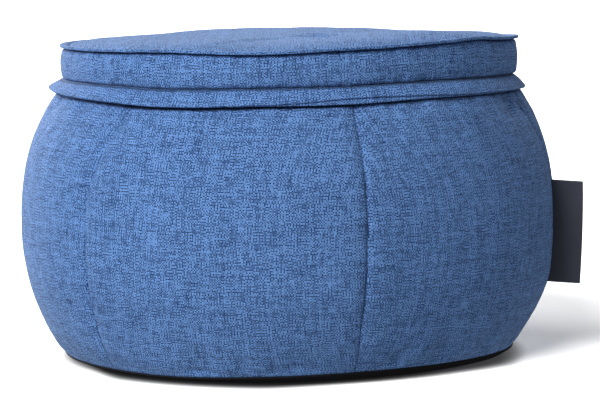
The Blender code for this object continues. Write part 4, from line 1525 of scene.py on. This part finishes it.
class FootstoolStudio(bpy.types.PropertyGroup):
    floor_colour: colour("Floor", "Colour of the floor", (0.90, 0.90, 0.90))
    key: number("Key light", "Strength from the front left", 2.96)
    rim: number("Rim light", "Strength from behind on the left", 2.96)
    fill: number("Fill lights", "Strength of the three fills", 0.42)
    back: number("Back light", "Strength from behind", 0.7)
    bounce: number("Bounce", "Light sent up by the floor", 0.4)
    floor_glow: number("Floor glow", "How bright the middle of the floor's shadow is", 0.42)
    floor_key: number("Floor key", "Strength of the key light on the floor", 10.5)
    floor_fill: number("Floor fill", "Strength of the left fill on the floor", 2.55)
    lens: number("Lens", "Focal length on a 36 mm sensor", 211.42, 20.0, unit="CAMERA")


# Operators

def dress(piece, finish):
    """Gives a piece its material, which is made once, and its body."""
    made = bpy.data.materials.get(finish)
    if made is None:
        made = FINISHES[finish](Board(finish), bpy.context.scene.footstool_look)
    piece.data.materials.append(made)
    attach(piece, "root")
    return piece


class FOOTSTOOL_OT_bag(bpy.types.Operator):
    """Sew and fill the bag from its six gores"""

    bl_idname = "footstool.bag"
    bl_label = "Bag"

    def execute(self, context):
        piece = dress(add_bag(context.scene.footstool_sizes), "blue weave")
        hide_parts("bag")
        return {"FINISHED"}


class FOOTSTOOL_OT_base(bpy.types.Operator):
    """Stretch the dark cloth under the bag"""

    bl_idname = "footstool.base"
    bl_label = "Base cloth"

    def execute(self, context):
        piece = dress(add_base(context.scene.footstool_sizes), "dark base cloth")
        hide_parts("base_panel")
        return {"FINISHED"}


class FOOTSTOOL_OT_flange(bpy.types.Operator):
    """Drape the two leaves of the flange over the bag's shoulder"""

    bl_idname = "footstool.flange"
    bl_label = "Flange"

    def execute(self, context):
        for name, node, leaf in (
            ("flange_under_leaf", "flange_lower", UNDER_LEAF),
            ("flange_upper_leaf", "flange_upper", UPPER_LEAF),
        ):
            piece = dress(add_leaf(context.scene.footstool_sizes, name, leaf), "blue weave")
            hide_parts(node)
        return {"FINISHED"}


class FOOTSTOOL_OT_lid(bpy.types.Operator):
    """Make the lid's pad with its band, and the top panel with its lip"""

    bl_idname = "footstool.lid"
    bl_label = "Lid"

    def execute(self, context):
        sizes = context.scene.footstool_sizes
        pad = dress(add_pad(sizes), "blue weave")
        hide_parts("lid_pad")
        panel = dress(add_panel(sizes), "blue weave")
        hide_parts("lid_top")
        stitches = dress(add_stitches(sizes), "blue thread")
        return {"FINISHED"}


class FOOTSTOOL_OT_label(bpy.types.Operator):
    """Fold the bare ribbon and catch it in the right seam"""

    bl_idname = "footstool.label"
    bl_label = "Side label"

    def execute(self, context):
        piece = dress(add_label(context.scene.footstool_sizes), "black ribbon")
        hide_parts("label")
        return {"FINISHED"}


def painted_floor_shade(paint):
    """A contact shadow painted on the floor: how lit the floor is painted, from 0 under the stool
    to 1, and the colour of the painted shade: the cube of a soft step outward over the edge of the
    foot, which lies further in at the front right, at both sides and on the right. The painted
    shade is paler on the right, and paler still at both ends."""
    x, y = paint.split(paint.place())
    radius = (x * x + y * y) ** 0.5
    toward = (x * FRONT_RIGHT[0] + y * FRONT_RIGHT[1]) / radius
    foot = SHADE_RADIUS - paint.step(toward, *FRONT_RIGHT_STEP) * SHADE_IN_FRONT_RIGHT
    foot = foot - paint.step(abs(x - SIDES_MIDDLE), *SIDES_STEP) * SHADE_IN_SIDES
    foot = foot - paint.step(x, *RIGHT_STEP) * SHADE_IN_RIGHT
    lit = paint.step(radius - foot, *SHADE_FADE) ** SHADE_POWER
    right = paint.step(x, *SHADE_RIGHT_STEP)
    ends = paint.step(abs(x - ENDS_MIDDLE), *ENDS_STEP)
    shade = paint.mix(right, rgba(SHADE_DARK), rgba(SHADE_RIGHT))
    return lit, paint.mix(ends, shade, rgba(SHADE_ENDS))


def add_floor(studio):
    """The floor, a wide square, and just below it the card that sends light up."""
    mesh = bpy.data.meshes.new("studio_floor")
    ways = ((-1, -1), (1, -1), (1, 1), (-1, 1))
    mesh.from_pydata(
        [(x * FLOOR_REACH, y * FLOOR_REACH, 0) for x, y in ways], [], [(0, 1, 2, 3)])
    floor = bpy.data.objects.new("studio_floor", mesh)
    paint = Board("studio floor")
    lit, shade = painted_floor_shade(paint)
    # Painted contact shadow: in the painted shade round the foot, the base colour goes dark and
    # the floor's glow takes the shade's colour.
    mesh.materials.append(paint.finish({
        "Base Color": paint.mix(lit, rgba(UNDER_STOOL_PAINTED_SHADE), rgba(studio.floor_colour)),
        "Roughness": 1.0,
        "Specular IOR Level": 0.0,
        "Emission Color": paint.mix(lit, shade, (1, 1, 1, 1)),
        "Emission Strength": studio.floor_glow,
    }))
    floor.visible_diffuse = floor.visible_glossy = False
    card_mesh = mesh.copy()
    card_mesh.materials.clear()
    card_mesh.transform(Matrix.Translation((0.0, 0.0, -CARD_DEPTH)))
    card = bpy.data.objects.new("bounce_card", card_mesh)
    glow = Board("bounce card")
    card_mesh.materials.append(glow.finish({
        "Base Color": (0, 0, 0, 1),
        "Emission Color": (1, 1, 1, 1),
        "Emission Strength": studio.bounce,
    }))
    glow.material.cycles.emission_sampling = "NONE"
    card.visible_camera = card.visible_glossy = card.visible_shadow = False
    for item in (floor, card):
        bpy.context.scene.collection.objects.link(item)
    return floor, card


def add_lights(studio, floor):
    """Far, broad lights that shine from an azimuth and an elevation toward the origin, each
    on the stool alone or on the floor alone."""
    lit = {part: bpy.data.collections.new("lit " + part) for part in ("stool", "floor")}
    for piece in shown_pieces():
        lit["stool"].objects.link(piece)
    lit["floor"].objects.link(floor)
    for light in LIGHTS:
        data = bpy.data.lights.new(light.name, "SUN")
        data.energy = getattr(studio, light.strength) * light.share
        data.angle = math.radians(light.spread)
        lamp = bpy.data.objects.new(light.name, data)
        lamp.rotation_euler = (
            math.radians(90 - light.elevation), 0.0, math.radians(light.azimuth))
        lamp.light_linking.receiver_collection = lit[light.lit]
        bpy.context.scene.collection.objects.link(lamp)


def add_white_room(scene):
    """A world that the camera sees white and that lights nothing. The scene has it before its
    visibility is set, because setting that updates the scene's world."""
    world = bpy.data.worlds.new("white room")
    world.use_nodes = True
    background = world.node_tree.nodes["Background"]
    background.inputs["Color"].default_value = (1, 1, 1, 1)
    background.inputs["Strength"].default_value = 1.0
    scene.world = world
    world.cycles_visibility.diffuse = False
    world.cycles_visibility.glossy = False


def add_camera(studio):
    """The camera: a small shift puts its own axis on its pixel of the picture."""
    data = bpy.data.cameras.new("camera")
    data.sensor_width = 36.0
    data.lens = studio.lens
    data.shift_x = (PICTURE[0] / 2 - AXIS_PIXEL[0]) / PICTURE[0]
    data.shift_y = (AXIS_PIXEL[1] - PICTURE[1] / 2) / PICTURE[0]
    data.clip_end = 200.0
    camera = bpy.data.objects.new("camera", data)
    camera.matrix_world = (
        Matrix.Translation(CAMERA_PLACE)
        @ Matrix.Rotation(math.radians(90 - CAMERA_DOWN), 4, "X")
        @ Matrix.Rotation(math.radians(CAMERA_ROLL), 4, "Z"))
    bpy.context.scene.collection.objects.link(camera)
    return camera


class FOOTSTOOL_OT_stage(bpy.types.Operator):
    """Set up the white floor, the soft lights and the camera"""

    bl_idname = "footstool.stage"
    bl_label = "Stage"

    def execute(self, context):
        scene = context.scene
        floor, card = add_floor(scene.footstool_studio)
        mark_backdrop(floor, card)
        add_lights(scene.footstool_studio, floor)
        add_white_room(scene)
        scene.camera = add_camera(scene.footstool_studio)
        scene.view_settings.view_transform = "Standard"
        return {"FINISHED"}


class FOOTSTOOL_PT_panel(bpy.types.Panel):
    """The footstool's pieces, sizes and colours"""

    bl_idname = "FOOTSTOOL_PT_panel"
    bl_label = "Footstool"
    bl_space_type = "VIEW_3D"
    bl_region_type = "UI"
    bl_category = "Footstool"

    def draw(self, context):
        column = self.layout.column(align=True)
        for operator in OPERATORS:
            column.operator(operator.bl_idname)
        scene = context.scene
        for group in (scene.footstool_sizes, scene.footstool_look, scene.footstool_studio):
            box = self.layout.box()
            for name in group.__annotations__:
                box.prop(group, name)


OPERATORS = (
    FOOTSTOOL_OT_bag,
    FOOTSTOOL_OT_base,
    FOOTSTOOL_OT_flange,
    FOOTSTOOL_OT_lid,
    FOOTSTOOL_OT_label,
    FOOTSTOOL_OT_stage,
)
CLASSES = (FootstoolSizes, FootstoolLook, FootstoolStudio, *OPERATORS, FOOTSTOOL_PT_panel)


def register():
    for item in CLASSES:
        bpy.utils.register_class(item)
    bpy.types.Scene.footstool_sizes = bpy.props.PointerProperty(type=FootstoolSizes)
    bpy.types.Scene.footstool_look = bpy.props.PointerProperty(type=FootstoolLook)
    bpy.types.Scene.footstool_studio = bpy.props.PointerProperty(type=FootstoolStudio)


def unregister():
    del bpy.types.Scene.footstool_studio
    del bpy.types.Scene.footstool_look
    del bpy.types.Scene.footstool_sizes
    for item in reversed(CLASSES):
        bpy.utils.unregister_class(item)


def main():
    register()
    bpy.ops.footstool.bag()
    bpy.ops.footstool.base()
    bpy.ops.footstool.flange()
    bpy.ops.footstool.lid()
    bpy.ops.footstool.label()
    bpy.ops.footstool.stage()


if __name__ == "__main__":
    main()
